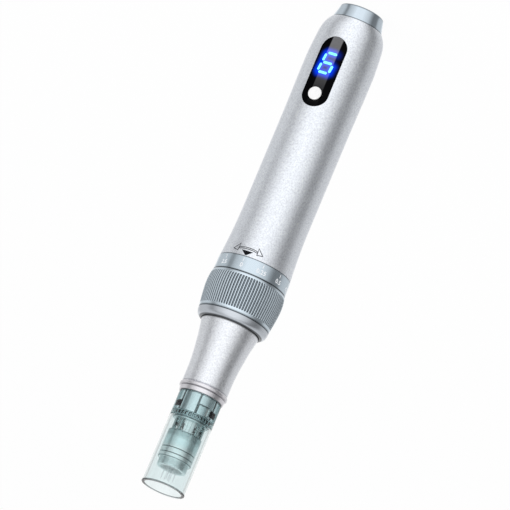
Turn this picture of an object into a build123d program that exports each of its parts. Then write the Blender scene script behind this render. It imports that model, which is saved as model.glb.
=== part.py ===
from build123d import *
import os
from math import atan, cos, degrees, pi, radians, sin, sqrt

# A microneedling pen, in millimetres. Z runs along the pen from the flat tail face up to the
# needle tip, the origin is the centre of the tail face, and the display looks towards -Y.

# Lengths along the pen, as they follow each other from the tail
tail_cap_length = 5.1
shell_length = 90.9
band_length = 5.35
ring_length = 13.6
lip_length = 2.9
nose_length = 26.1
cartridge_reach = 33.6

# Outer radii
tail_face_radius = 7.55
tail_radius = 8.85
shell_tail_radius = 9.05
shell_radius = 11.885
waist_radius = 11.715
shell_mouth_radius = 12.63
band_radius = 12.7
band_front_radius = 12.85
ring_back_radius = 12.95
ring_radius = 13.42
ring_front_radius = 12.5
lip_front_radius = 11.4
nose_root_radius = 10.15
nose_waist_radius = 8.05
collar_bead_radius = 8.45
collar_front_radius = 7.75
cartridge_radius = 7.5

# Clearances
running_gap = 0.07
slide_gap = 0.1
free_gap = 0.3
joint_gap = 0.15
cut_over = 1.0

# Motions
scale_marks = 11
depth_travel = 2.5
rod_stroke = 3.0
button_travel = 0.4
needle_inset = 3.0
depth_turn = 360 * (scale_marks - 1) / scale_marks

# Tail cap and charging socket
tail_round = 0.5
cap_wall = 5.6
cap_spigot_length = 4.5
cap_spigot_radius = 7.6
cap_cavity_radius = 6.2
seal_wire = 0.45
seal_groove_place = 1.7
socket_radius = 3.2
socket_bore_radius = 1.8
socket_bore_depth = 12.0
socket_recess = 0.4
socket_floor = 1.6
nut_corner_radius = 5.2
nut_length = 2.0

# Body shell
shell_bore_radius = 10.4
shoulder_length = 15.9
front_flare_length = 20.0
spigot_seat_length = 4.9
seat_cone_length = 2.8
# Radial and axial shares of the shoulder between the tail edge and the full radius
shoulder_shares = ((0.33, 0.09), (0.65, 0.23), (0.84, 0.48))
waist_start_share = 0.45

# Display window, centred on -Y
window_start = 13.7
window_length = 25.8
window_width = 9.3
window_sink = 0.05
window_edge_gap = 0.05
window_depth = 1.0
window_flange = 0.8

# Power button and its switch
button_radius = 2.3
button_place = 4.7
button_gap = 0.15
button_stand = 0.08
button_flange_radius = 3.0
button_flange_thickness = 0.5
button_edge = 0.15
switch_side = 4.5
switch_height = 1.5
plunger_radius = 1.0
plunger_height = 0.5
press_gap = 0.1

# Battery, cradle and board
cell_radius = 7.0
cell_length = 43.0
cell_offset = 2.9
cell_nub_radius = 2.6
cell_nub_height = 0.5
tab_thickness = 0.3
tab_width = 5.0
cradle_radius = 10.2
cradle_start = 15.0
cradle_wall = 1.5
cradle_mouth = 10.0
cell_gap = 0.05
board_thickness = 1.0
board_width = 15.0
board_floor = 5.2
screw_radius = 0.8
screw_head_radius = 1.4
screw_head_height = 0.8
screw_depth = 0.9
screw_inset = 1.6
display_width = 8.4
display_height = 12.0
display_depth = 2.1
display_start = 17.5
segment_relief = 0.2
segment_width = 0.7
digit_width = 4.4
digit_height = 8.6
# Each chip's place across and along the board, and its width and length, as shares of the board
chip_shares = (
    (-0.22, 0.62, 0.30, 0.09),
    (0.2, 0.6, 0.22, 0.06),
    (0.16, 0.74, 0.34, 0.08),
    (-0.2, 0.8, 0.2, 0.07),
)
chip_height = 0.9

# Chassis tube that carries the ring and the nose
chassis_start = 84.0
chassis_bore_radius = 9.5
chassis_end_gap = 0.5
clip_place = 2.8
clip_thickness = 0.8
clip_depth = 0.3
clip_width = 1.0
friction_ring_wire = 0.5
friction_ring_place = 2.9

# Drive carriage
carriage_start = 69.0
carriage_length = 39.5
chamber_length = 12.6
web_radius = 6.0
web_thickness = 1.0
bush_radius = 3.2
bush_length = 4.8
spring_pocket_radius = 3.6
spring_pocket_depth = 1.6
pin_radius = 0.95
pin_place = 3.0
pin_reach = 0.85
pin_root = 3.0
groove_gap = 0.15
groove_depth = 1.03
groove_run_out = 8.0

# Motor
motor_radius = 8.0
motor_length = 19.5
can_wall = 0.6
motor_face = 1.0
boss_radius = 2.5
boss_length = 1.0
shaft_radius = 0.75
shaft_gap = 0.05
shaft_reach = 6.0
end_cap_thickness = 1.5
magnet_thickness = 2.0
magnet_length = 12.0
air_gap = 0.4
terminal_width = 1.6
terminal_thickness = 0.4
terminal_length = 2.0
terminal_spacing = 8.0

# Cam, follower and drive rod
cam_radius = 5.6
cam_lift_radius = 4.5
cam_middle = 2.7
cam_start_gap = 0.3
peg_radius = 0.8
peg_length = 1.9
plate_radius = 6.0
plate_thickness = 1.2
rod_radius = 1.5
rod_gap = 0.05
rod_spring_radius = 2.4
rod_spring_wire = 0.4
rod_spring_turns = 4
spring_seat_gap = 0.05

# Knurling of the depth ring
knurl_count = 84
knurl_depth = 0.45
knurl_start_inset = 0.9
knurl_end_inset = 1.1
knurl_root_radius = 12.0
crest_share = 0.4
root_share = 0.16
ring_edge = 0.2
barrel_shares = ((0.16, 0.90), (0.4, 1.0), (0.64, 0.68))
band_seat_radius = 11.6
clip_room_radius = 11.3
lip_round = 0.6
lip_middle_share = 0.66

# Nose cone and its collar
nose_spigot_length = 3.2
nose_root_length = 3.9
nose_cavity_radius = 8.0
nose_cavity_length = 8.0
nose_throat_radius = 6.7
collar_length = 3.3
collar_seat_radius = 7.2
collar_seat_length = 1.7
collar_groove = 0.2
bead_width = 1.4
nose_waist_length = 5.5
socket_bore = 6.5
cartridge_seat = 7.5
nose_web = 6.0
nose_bush_radius = 3.0
nose_seal_wire = 0.4
# Axial share along the cone, and share of the radius still to be lost there
nose_shares = ((0.11, 0.83), (0.26, 0.60), (0.42, 0.42), (0.58, 0.26), (0.74, 0.12))

# Cartridge
spigot_gap = 0.1
spigot_end_gap = 0.3
tube_wall = 0.85
tube_face_gap = 0.2
rim_bead = 0.15
rim_bead_length = 0.8
neck_length = 6.7
neck_bore_radius = 5.2
neck_floor = 2.0
stem_room_radius = 2.2
neck_slot_width = 0.5
neck_slot_depth = 0.35
neck_slots = 7
neck_turn = -112.0
latch_width = 3.1
latch_height = 2.0
latch_depth = 0.8
latch_inset = 1.0
latch_count = 3
latch_turn = 71.5
pocket_width = 4.0
pocket_height = 3.3
pocket_depth = 0.3
pocket_turn = 36.0
spigot_ring_wire = 0.35
spigot_ring_place = 2.4
seal_ring_length = 2.1
seal_ring_notches = 32
seal_notch_width = 0.75
seal_notch_depth = 0.5
post_count = 4
post_turn = 20.6
post_width = 2.8
post_slot = 1.5
post_depth = 1.2
post_length = 4.9
core_radius = 5.9
core_length = 9.8
core_line_places = (6.3, 8.2)
core_line_depth = 0.2
core_line_width = 0.3
core_floor = 1.8
core_nose_radius = 5.15
core_nose_length = 2.8
core_bore_radius = 3.6

# Needle piston
piston_stem_radius = 1.5
piston_tail_place = 3.0
piston_flange_radius = 3.4
piston_flange_thickness = 1.2
block_radius = 3.3
block_thickness = 3.5
block_gap = 1.5
needle_radius = 0.15
needle_point = 0.9
needle_root = 1.0
needle_rings = ((4, 0.9), (8, 2.2))
piston_spring_radius = 2.5
piston_spring_wire = 0.35
piston_spring_turns = 6

# Stations along the pen
shell_end = tail_cap_length + shell_length
band_start = shell_end + joint_gap
band_end = band_start + band_length
ring_end = band_end + ring_length
lip_end = ring_end + lip_length
nose_end = lip_end + nose_length
tip_end = nose_end + cartridge_reach
ring_bore_radius = shell_bore_radius + running_gap
mouth_radius = nose_root_radius + joint_gap
chassis_end = ring_end - chassis_end_gap
carriage_radius = chassis_bore_radius - slide_gap
carriage_end = carriage_start + carriage_length
motor_start = carriage_start + end_cap_thickness
motor_end = motor_start + motor_length
chamber_end = motor_end + chamber_length
pin_height = chamber_end + pin_place
pin_direction = 90.0
cam_start = motor_end + boss_length + cam_start_gap
cam_slope = rod_stroke / (cam_lift_radius + cam_lift_radius)
peg_start = cam_start + cam_middle + cam_slope * (cam_lift_radius + peg_radius) + free_gap
plate_start = peg_start + peg_length
pocket_end = chamber_end + spring_pocket_depth
cartridge_start = nose_end - cartridge_seat + spigot_end_gap
tube_start = nose_end + tube_face_gap
neck_end = tube_start + neck_length
seal_end = neck_end + seal_ring_length
core_start = seal_end + post_length
core_end = core_start + core_length
tube_bore_radius = cartridge_radius - tube_wall
neck_radius = tube_bore_radius
rod_end = cartridge_start + piston_tail_place
piston_flange_start = tube_start + neck_floor + free_gap
spring_start = piston_flange_start + piston_flange_thickness
needle_tip = tip_end - needle_inset
board_face = board_floor + board_thickness
tail_side = (Align.CENTER, Align.CENTER, Align.MIN)
outward_up = (Align.MIN, Align.CENTER, Align.MIN)
outward_down = (Align.MIN, Align.CENTER, Align.MAX)
inward_up = (Align.MAX, Align.CENTER, Align.MIN)
inward_down = (Align.MAX, Align.CENTER, Align.MAX)
back_up = (Align.CENTER, Align.MIN, Align.MIN)


# General shapes
def disc(radius, start, end):
    return Pos(0, 0, start) * Cylinder(radius, end - start, align=tail_side)


def tube(outer, inner, start, end):
    return disc(outer, start, end) - disc(inner, start - cut_over, end + cut_over)


def groove(radius, depth, start, end):
    # What a groove takes out of a round surface of this radius
    return tube(radius + cut_over, radius - depth, start, end)


def block(x_size, y_low, y_high, start, end):
    middle = Pos(0, (y_low + y_high) / 2, start)
    return middle * Box(x_size, y_high - y_low, end - start, align=tail_side)


def polar(radius, angle, height=0.0):
    return (radius * cos(radians(angle)), radius * sin(radians(angle)), height)


def section(points):
    # A closed outline of (radius, height) points in the plane of the pen's axis
    return make_face(Polyline([(r, 0, z) for r, z in points], close=True))


def turned(points):
    return revolve(section(points), Axis.Z)


def turned_edges(edges):
    return revolve(make_face(edges), Axis.Z)


def o_ring(major, wire, height):
    return Pos(0, 0, height) * Torus(major, wire)


def around(count, radius, piece, first=0.0):
    return [place * piece for place in PolarLocations(radius, count, first)]


def coil(radius, wire, start, end, turns):
    # A spring as one tube on pairs of arcs, each pair a quarter turn of the helix
    rise = end - start
    quarters = round(turns * 4)
    length = sqrt((2 * pi * radius * turns) ** 2 + rise ** 2)

    def place(step):
        return Vector(*polar(radius, step * 90, start + rise * step / quarters))

    def heading(step):
        flat = 2 * pi * radius * turns / length
        across = polar(flat, step * 90 + 90)
        return Vector(across[0], across[1], rise / length)

    edges = []
    for step in range(quarters):
        p0, p1 = place(step), place(step + 1)
        t0, t1 = heading(step), heading(step + 1)
        chord, both = p1 - p0, t0 + t1
        bend = 1 - t0.dot(t1)
        along = chord.dot(both)
        reach = (sqrt(along ** 2 + 2 * bend * chord.dot(chord)) - along) / (2 * bend)
        first, second = p0 + t0 * reach, p1 - t1 * reach
        joint = (first + second) * (1 / 2)
        edges.append(Edge.make_tangent_arc(p0, t0, joint))
        edges.append(Edge.make_tangent_arc(joint, (second - first).normalized(), p1))
    path = Wire(edges)
    profile = Plane(origin=path @ 0, z_dir=path % 0) * Circle(wire / 2)
    pitch = rise / turns
    gap = pitch * cos(atan(pitch / (2 * pi * radius))) - wire
    print("spring turns", turns, "least gap between them", round(gap, 3))
    return sweep(profile, path=path)


# Outer outline of the body shell, from its tail edge to its mouth, drawn in by an inset
def shell_outline(inset):
    swell = shell_radius - shell_tail_radius
    start = (shell_tail_radius - inset, 0, tail_cap_length)
    shoulder = [start]
    for across, along in shoulder_shares:
        height = tail_cap_length + along * shoulder_length
        shoulder.append((shell_tail_radius + across * swell - inset, 0, height))
    full = (shell_radius - inset, 0, tail_cap_length + shoulder_length)
    shoulder.append(full)
    waist = (waist_radius - inset, 0, tail_cap_length + waist_start_share * shell_length)
    waist_end = (waist_radius - inset, 0, shell_end - front_flare_length)
    mouth = (shell_mouth_radius - inset, 0, shell_end)
    rise = (0, 0, 1)
    flare = ((shell_mouth_radius - waist_radius) / front_flare_length * 2, 0, 1)
    return [
        Spline(*shoulder, tangents=[((shell_radius - shell_tail_radius) / shoulder_length * 4, 0, 1), rise]),
        Spline(full, waist, tangents=[rise, rise]),
        Line(waist, waist_end),
        Spline(waist_end, mouth, tangents=[rise, flare]),
    ]


def shell_solid(inset):
    edges = shell_outline(inset)
    tail, mouth = edges[0] @ 0, edges[-1] @ 1
    foot = (0, 0, tail_cap_length)
    head = (0, 0, shell_end)
    return turned_edges(edges + [Line(mouth, head), Line(head, foot), Line(foot, tail)])


def window_prism(grow, near, far):
    # A pill-shaped prism that runs from y = -far to y = -near
    middle = window_start + window_length / 2
    width = window_width + grow + grow
    pill = SlotOverall(window_length + grow + grow, width, rotation=90)
    return extrude(Plane(origin=(0, -near, middle), x_dir=(1, 0, 0), z_dir=(0, -1, 0)) * pill, far - near)


def button_axis(radius, near, far):
    height = window_start + window_length - button_place
    face = Plane(origin=(0, -near, height), x_dir=(1, 0, 0), z_dir=(0, -1, 0)) * Circle(radius)
    return extrude(face, far - near)


# Tail
def make_tail_cap():
    edge = tail_face_radius
    body = turned([(0, 0), (edge, 0), (tail_radius, tail_cap_length), (0, tail_cap_length)])
    body = fillet(body.edges().filter_by(GeomType.CIRCLE).group_by(Axis.Z)[0], tail_round)
    end = tail_cap_length + cap_spigot_length
    body += disc(cap_spigot_radius, tail_cap_length, end)
    body -= disc(cap_cavity_radius, cap_wall, end + cut_over)
    body -= disc(socket_radius, -cut_over, cap_wall + cut_over)
    middle = tail_cap_length + seal_groove_place
    return body - groove(cap_spigot_radius, seal_wire * 2, middle - seal_wire, middle + seal_wire)


def make_tail_seal():
    return o_ring(cap_spigot_radius - seal_wire, seal_wire, tail_cap_length + seal_groove_place)


def make_charging_socket():
    end = socket_recess + socket_bore_depth
    body = disc(socket_radius, socket_recess, end + socket_floor)
    return body - disc(socket_bore_radius, socket_recess - cut_over, end)


def make_socket_nut():
    nut = extrude(Pos(0, 0, cap_wall) * RegularPolygon(nut_corner_radius, 6), nut_length)
    return nut - disc(socket_radius, cap_wall - cut_over, cap_wall + nut_length + cut_over)


# Body shell and display
def make_body_shell():
    body = shell_solid(0.0)
    seat_end = tail_cap_length + spigot_seat_length
    bore_start = seat_end + seat_cone_length
    body -= disc(cap_spigot_radius, tail_cap_length - cut_over, seat_end)
    foot, head = (0, seat_end), (0, bore_start)
    body -= turned([foot, (cap_spigot_radius, seat_end), (shell_bore_radius, bore_start), head])
    body -= disc(shell_bore_radius, bore_start, shell_end + cut_over)
    return body - window_prism(0.0, 0.0, shell_mouth_radius + cut_over)


def make_display_window():
    start, end = tail_cap_length, shell_end
    glass = window_prism(-window_edge_gap, 0.0, shell_mouth_radius) & shell_solid(window_sink)
    flange = window_prism(window_flange, 0.0, shell_mouth_radius) & disc(shell_bore_radius, start, end)
    glass = (glass + flange) - disc(shell_bore_radius - window_depth, start, end)
    flange_face = button_back() + button_flange_thickness
    glass -= button_axis(button_flange_radius + button_gap, 0.0, flange_face + button_gap)
    return glass - button_axis(button_radius + button_gap, 0.0, shell_mouth_radius)


def button_back():
    return board_face + switch_height + plunger_height + press_gap + button_travel


def make_power_button():
    top = shell_radius + button_stand
    back = button_back()
    cap = button_axis(button_radius, back, top)
    cap = fillet(cap.edges().filter_by(GeomType.CIRCLE).group_by(Axis.Y)[0], button_edge)
    return cap + button_axis(button_flange_radius, back, back + button_flange_thickness)


def make_tact_switch():
    height = window_start + window_length - button_place
    low = height - switch_side / 2
    body = block(switch_side, -board_face - switch_height, -board_face, low, low + switch_side)
    face = board_face + switch_height
    return body + button_axis(plunger_radius, face, face + plunger_height)


def make_led_display():
    front = -board_face - display_depth
    body = block(display_width, front, -board_face, display_start, display_start + display_height)
    middle = display_start + display_height / 2
    half_wide = digit_width / 2
    half_tall = digit_height / 2
    floor = front + segment_relief
    bar = digit_width - segment_width * 2
    upright = half_tall - segment_width * 2
    for level in (-1, 0, 1):
        low = middle + level * half_tall - segment_width / 2
        body -= block(bar, front - cut_over, floor, low, low + segment_width)
    for side in (-1, 1):
        for level in (-1, 0):
            low = middle + level * half_tall + segment_width
            groove = block(segment_width, front - cut_over, floor, low, low + upright)
            body -= Pos(side * half_wide, 0, 0) * groove
    return body


def cradle_end():
    return cradle_start + cell_length + (cradle_wall + tab_thickness) * 2 + cell_nub_height


def make_main_board():
    start, end = cradle_start, cradle_end()
    board = block(board_width, -board_face, -board_floor, start, end)
    return board - board_screw_holes()


def board_screw_places():
    side = board_width / 2 - screw_inset
    end = cradle_end() - screw_inset
    return [(-side, end), (side, end)]


def screw_axis(radius, x, height, near, far):
    face = Plane(origin=(x, -near, height), x_dir=(1, 0, 0), z_dir=(0, -1, 0)) * Circle(radius)
    return extrude(face, far - near)


def board_screw_holes():
    inner = board_floor - screw_depth
    return [screw_axis(screw_radius, x, z, inner, board_face + cut_over) for x, z in board_screw_places()]


def make_board_screws():
    screws = []
    for x, z in board_screw_places():
        shank = screw_axis(screw_radius, x, z, board_floor - screw_depth, board_face)
        screws.append(shank + screw_axis(screw_head_radius, x, z, board_face, board_face + screw_head_height))
    return Compound(screws)


def make_board_chips():
    length = cradle_end() - cradle_start
    chips = []
    for across, along, wide, tall in chip_shares:
        low = cradle_start + along * length
        chip = block(wide * board_width, -board_face - chip_height, -board_face, low, low + tall * length)
        chips.append(Pos(across * board_width, 0, 0) * chip)
    return Compound(chips)


def cell_start():
    return cradle_start + cradle_wall + tab_thickness


def make_battery_cell():
    start = cell_start()
    end = start + cell_length
    cell = disc(cell_radius, start, end) + disc(cell_nub_radius, end, end + cell_nub_height)
    return Pos(0, cell_offset, 0) * cell


def make_battery_tabs():
    start = cell_start()
    end = start + cell_length + cell_nub_height
    low, high = -board_floor, cell_offset + tab_width / 2
    tail_tab = block(tab_width, low, high, start - tab_thickness, start)
    front_tab = block(tab_width, low, high, end, end + tab_thickness)
    return Compound([tail_tab, front_tab])


def make_battery_cradle():
    start, end = cradle_start, cradle_end()
    body = disc(cradle_radius, start, end)
    far_side = -cradle_radius - cut_over
    body -= block(cradle_radius * 2, far_side, -board_floor, start - cut_over, end + cut_over)
    room = disc(cell_radius + cell_gap, start + cradle_wall, end - cradle_wall)
    body -= Pos(0, cell_offset, 0) * room
    body -= block(cradle_mouth, cell_offset, cradle_radius + cut_over, start + cradle_wall, end - cradle_wall)
    tab_low = -board_floor - cut_over
    body -= block(tab_width, tab_low, cell_offset, start + cradle_wall, start + cradle_wall + tab_thickness)
    body -= block(tab_width, tab_low, cell_offset, end - cradle_wall - tab_thickness, end - cradle_wall)
    return body - board_screw_holes()


# Chassis tube, with what sits on it
def make_chassis_tube():
    body = tube(shell_bore_radius, chassis_bore_radius, chassis_start, chassis_end)
    half = pin_radius + groove_gap
    slot = Box(half * 2, chassis_bore_radius, depth_travel + half * 2, align=back_up)
    body -= Pos(0, carriage_radius - cut_over, pin_height - half) * slot
    clip_start = chassis_end - clip_place
    body -= groove(shell_bore_radius, clip_depth, clip_start, clip_start + clip_thickness)
    middle = shell_end + friction_ring_place
    wire = friction_ring_wire
    return body - groove(shell_bore_radius, wire, middle - wire / 2, middle + wire / 2)


def make_ring_clip():
    start = chassis_end - clip_place
    inner = shell_bore_radius - clip_depth
    ring = tube(inner + clip_width, inner, start, start + clip_thickness)
    gap = Box(clip_width * 2, shell_radius * 2, clip_thickness + cut_over * 2, align=back_up)
    return ring - Pos(0, 0, start - cut_over) * gap


def make_friction_ring():
    wire = friction_ring_wire / 2
    return o_ring(shell_bore_radius - wire, wire, shell_end + friction_ring_place)


# Depth ring
def barrel_edges(inset):
    swell = ring_radius - ring_front_radius
    start = (ring_back_radius - inset, 0, band_end)
    end = (ring_front_radius - inset, 0, ring_end)
    points = [start]
    for along, across in barrel_shares:
        points.append((ring_front_radius + across * swell - inset, 0, band_end + along * ring_length))
    points.append(end)
    return [Spline(*points)], start, end


def barrel(inset):
    edges, start, end = barrel_edges(inset)
    foot, head = (0, 0, band_end), (0, 0, ring_end)
    return turned_edges(edges + [Line(end, head), Line(head, foot), Line(foot, start)])


def knurl_prism():
    step = 360 / knurl_count
    crest, root = crest_share / 2, root_share / 2
    top = ring_radius + cut_over
    low = knurl_root_radius
    shape = ((-crest, top), (crest, top), (1 / 2 - root, low), (1 / 2 + root, low))
    teeth = range(knurl_count)
    corners = [polar(radius, step * (tooth + share)) for tooth in teeth for share, radius in shape]
    start = band_end + knurl_start_inset
    length = ring_length - knurl_start_inset - knurl_end_inset
    return Pos(0, 0, start) * extrude(make_face(Polyline(corners, close=True)), length)


def depth_groove():
    # The helical groove rises as it runs back round the ring, so that a turn of the ring lifts the pin
    pitch = depth_travel * 360 / depth_turn
    half = pin_radius + groove_gap
    middle = ring_bore_radius + groove_depth / 2 - slide_gap
    run_out = pitch * groove_run_out / 360
    height = pitch * (depth_turn + groove_run_out * 2) / 360
    path = Helix(pitch, height, middle, lefthand=True)
    across = Plane(origin=path @ 0, x_dir=(1, 0, 0), z_dir=path % 0)
    cutter = sweep(across * Rectangle(groove_depth + slide_gap * 2, half * 2), path=path, is_frenet=True)
    return Pos(0, 0, pin_height - run_out) * Rot(0, 0, pin_direction + groove_run_out) * cutter


def make_depth_ring():
    smooth_start = band_end + knurl_start_inset
    smooth_end = ring_end - knurl_end_inset
    outer = barrel(0.0)
    body = barrel(knurl_depth) + (knurl_prism() & outer)
    body += outer & (disc(ring_radius, band_end, smooth_start) + disc(ring_radius, smooth_end, ring_end))
    body += disc(band_seat_radius, band_start, band_end)
    body -= disc(ring_bore_radius, band_start - cut_over, ring_end + cut_over)
    clip_start = chassis_end - clip_place - joint_gap
    body -= disc(clip_room_radius + joint_gap, clip_start, ring_end + cut_over)
    return body - depth_groove()


def make_scale_band():
    return turned([
        (band_seat_radius, band_start),
        (band_radius, band_start),
        (band_front_radius, band_end - ring_edge),
        (band_front_radius - ring_edge, band_end),
        (band_seat_radius, band_end),
    ])


def make_ring_lip():
    edge = ring_front_radius - ring_edge
    middle = (edge + lip_front_radius) / 2
    outline = [
        Line((mouth_radius, 0, ring_end), (edge, 0, ring_end)),
        Line((edge, 0, ring_end), (ring_front_radius, 0, ring_end + ring_edge)),
        Spline(
            (ring_front_radius, 0, ring_end + ring_edge),
            (middle + ring_edge, 0, ring_end + lip_middle_share * lip_length),
            (lip_front_radius - lip_round, 0, lip_end),
        ),
        Line((lip_front_radius - lip_round, 0, lip_end), (mouth_radius, 0, lip_end)),
        Line((mouth_radius, 0, lip_end), (mouth_radius, 0, ring_end)),
    ]
    return turned_edges(outline)


# Drive carriage and what is fixed in it
def make_drive_carriage():
    body = disc(carriage_radius, carriage_start, carriage_end)
    body -= disc(motor_radius, carriage_start - cut_over, motor_end)
    body -= disc(web_radius, motor_end - cut_over, chamber_end)
    body -= disc(motor_radius, motor_end + web_thickness, chamber_end)
    body -= disc(spring_pocket_radius, chamber_end - cut_over, pocket_end)
    body -= disc(bush_radius, pocket_end - cut_over, carriage_end + cut_over)
    return body - radial_pin(pin_radius, carriage_radius + cut_over)


def radial_pin(radius, far):
    near = bush_radius + pin_root
    face = Plane(origin=(0, near, pin_height), x_dir=(1, 0, 0), z_dir=(0, 1, 0)) * Circle(radius)
    return extrude(face, far - near)


def make_carriage_pin():
    return radial_pin(pin_radius, ring_bore_radius + pin_reach)


def make_rod_bush():
    return tube(bush_radius, rod_radius + rod_gap, pocket_end, pocket_end + bush_length)


def make_motor_can():
    body = disc(motor_radius, motor_start, motor_end)
    body -= disc(motor_radius - can_wall, motor_start - cut_over, motor_end - motor_face)
    body += disc(boss_radius, motor_end - motor_face, motor_end + boss_length)
    return body - disc(shaft_radius + shaft_gap, motor_start, motor_end + boss_length + cut_over)


def make_motor_end_cap():
    inner = motor_radius - can_wall
    body = disc(inner, motor_start, motor_start + end_cap_thickness)
    body += disc(boss_radius, motor_start - boss_length, motor_start)
    return body - disc(shaft_radius + shaft_gap, motor_start - boss_length - cut_over, motor_end)


def magnet_start():
    return motor_start + (motor_length - magnet_length) / 2


def make_motor_magnet():
    inner = motor_radius - can_wall
    return tube(inner, inner - magnet_thickness, magnet_start(), magnet_start() + magnet_length)


def make_motor_terminals():
    start = motor_start - terminal_length
    tab = block(terminal_width, -terminal_thickness / 2, terminal_thickness / 2, start, motor_start)
    return Compound([Pos(side * terminal_spacing / 2, 0, 0) * tab for side in (-1, 1)])


# Rotor
def make_motor_shaft():
    return disc(shaft_radius, motor_start - boss_length, motor_end + shaft_reach)


def make_motor_rotor():
    radius = motor_radius - can_wall - magnet_thickness - air_gap
    start = magnet_start() + air_gap
    return tube(radius, shaft_radius, start, start + magnet_length - air_gap * 2)


def make_swash_cam():
    body = disc(cam_radius, cam_start, cam_start + cam_middle * 3)
    top = Box(cam_radius * 4, cam_radius * 4, cam_middle * 4, align=tail_side)
    body -= Pos(0, 0, cam_start + cam_middle) * Rot(0, -degrees(atan(cam_slope)), 0) * top
    return body - disc(shaft_radius, cam_start - cut_over, motor_end + shaft_reach + cut_over)


# Drive rod
def make_drive_rod():
    return disc(rod_radius, plate_start, rod_end)


def make_cam_follower():
    plate = tube(plate_radius, rod_radius, plate_start, plate_start + plate_thickness)
    peg = disc(peg_radius, peg_start, plate_start)
    return plate + Pos(cam_lift_radius, 0, 0) * peg


def make_rod_spring():
    seat = rod_spring_wire / 2 + spring_seat_gap
    start = plate_start + plate_thickness + seat
    return coil(rod_spring_radius, rod_spring_wire, start, pocket_end - seat, rod_spring_turns)


# Nose
def make_nose_cone():
    waist_start = nose_end - collar_length - nose_waist_length
    cone_start = chassis_end + nose_root_length
    root = (nose_root_radius, 0, cone_start)
    waist = (nose_waist_radius, 0, waist_start)
    points = [root]
    for along, left in nose_shares:
        height = cone_start + along * (waist_start - cone_start)
        points.append((nose_waist_radius + left * (nose_root_radius - nose_waist_radius), 0, height))
    points.append(waist)
    seat = nose_end - collar_length
    neck_top = seat + collar_seat_length
    spigot = chassis_end - nose_spigot_length
    outline = [
        Line((0, 0, spigot), (chassis_bore_radius, 0, spigot)),
        Line((chassis_bore_radius, 0, spigot), (chassis_bore_radius, 0, chassis_end)),
        Line((chassis_bore_radius, 0, chassis_end), (nose_root_radius, 0, chassis_end)),
        Line((nose_root_radius, 0, chassis_end), root),
        Spline(*points),
        Line(waist, (nose_waist_radius, 0, seat - collar_groove)),
        Line((nose_waist_radius, 0, seat - collar_groove), (nose_waist_radius - collar_groove, 0, seat)),
        Line((nose_waist_radius - collar_groove, 0, seat), (collar_seat_radius, 0, seat)),
        Line((collar_seat_radius, 0, seat), (collar_seat_radius, 0, neck_top)),
        Line((collar_seat_radius, 0, neck_top), (0, 0, neck_top)),
        Line((0, 0, neck_top), (0, 0, spigot)),
    ]
    body = turned_edges(outline)
    web_end = nose_end - cartridge_seat
    web_start = web_end - nose_web
    wide_end = chassis_end + nose_cavity_length
    body -= disc(nose_cavity_radius, spigot - cut_over, wide_end)
    body -= turned([
        (0, wide_end - cut_over),
        (nose_cavity_radius, wide_end - cut_over),
        (nose_cavity_radius, wide_end),
        (nose_throat_radius, web_start),
        (0, web_start),
    ])
    body -= disc(nose_bush_radius, web_start - cut_over, web_end + cut_over)
    return body - disc(socket_bore, web_end, nose_end + cut_over)


def make_nose_bush():
    end = nose_end - cartridge_seat
    start = end - nose_web
    bush = tube(nose_bush_radius, rod_radius + rod_gap, start, end)
    room = rod_radius + rod_gap + nose_seal_wire * 2
    middle = (start + end) / 2
    return bush - disc(room, middle - nose_seal_wire, middle + nose_seal_wire)


def make_nose_seal():
    middle = nose_end - cartridge_seat - nose_web / 2
    return o_ring(rod_radius + rod_gap + nose_seal_wire, nose_seal_wire, middle)


def make_nose_collar():
    start = nose_end - collar_length
    bead_start = start + collar_groove
    bead_end = bead_start + bead_width
    seat_end = start + collar_seat_length
    return turned([
        (collar_seat_radius, start),
        (nose_waist_radius - collar_groove, start),
        (collar_bead_radius, bead_start + collar_groove),
        (collar_bead_radius, bead_end - collar_groove),
        (nose_waist_radius - collar_groove, bead_end),
        (nose_waist_radius, bead_end + collar_groove),
        (collar_front_radius, nose_end),
        (socket_bore, nose_end),
        (socket_bore, seat_end),
        (collar_seat_radius, seat_end),
    ])


# Cartridge
def make_cartridge_tube():
    return turned([
        (tube_bore_radius, tube_start),
        (cartridge_radius, tube_start),
        (cartridge_radius, tip_end - rim_bead_length),
        (cartridge_radius + rim_bead, tip_end - rim_bead_length / 2),
        (cartridge_radius + rim_bead, tip_end - rim_bead),
        (cartridge_radius, tip_end),
        (tube_bore_radius, tip_end),
    ])


def latch_box(grow):
    size = (latch_depth + grow, latch_width, latch_height)
    room = disc(neck_radius + grow, tube_start, neck_end)
    return Pos(neck_radius + grow, 0, neck_end - latch_inset) * Box(*size, align=inward_down) & room


def make_cartridge_base():
    spigot = socket_bore - spigot_gap
    body = disc(spigot, cartridge_start, tube_start)
    body += disc(neck_radius, tube_start, neck_end)
    body -= disc(stem_room_radius, cartridge_start - cut_over, neck_end)
    body -= disc(neck_bore_radius, tube_start + neck_floor, neck_end + cut_over)
    ring_middle = cartridge_start + spigot_ring_place
    wire = spigot_ring_wire
    body -= groove(spigot, wire * 2, ring_middle - wire, ring_middle + wire)
    slot = Box(neck_slot_depth + cut_over, neck_slot_width, neck_length + cut_over, align=outward_up)
    slot_floor = neck_radius - neck_slot_depth
    body -= around(neck_slots, slot_floor, Pos(0, 0, tube_start) * slot, neck_turn)
    pocket = Box(pocket_depth + cut_over, pocket_width, pocket_height, align=outward_down)
    pocket_floor = neck_radius - pocket_depth
    first = latch_turn + pocket_turn
    body -= around(latch_count, pocket_floor, Pos(0, 0, neck_end) * pocket, first)
    return body - around(latch_count, 0.0, latch_box(cut_over), latch_turn)


def make_latch_blocks():
    return Compound(around(latch_count, 0.0, latch_box(0.0), latch_turn))


def make_spigot_ring():
    spigot = socket_bore - spigot_gap
    return o_ring(spigot - spigot_ring_wire, spigot_ring_wire, cartridge_start + spigot_ring_place)


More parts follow.
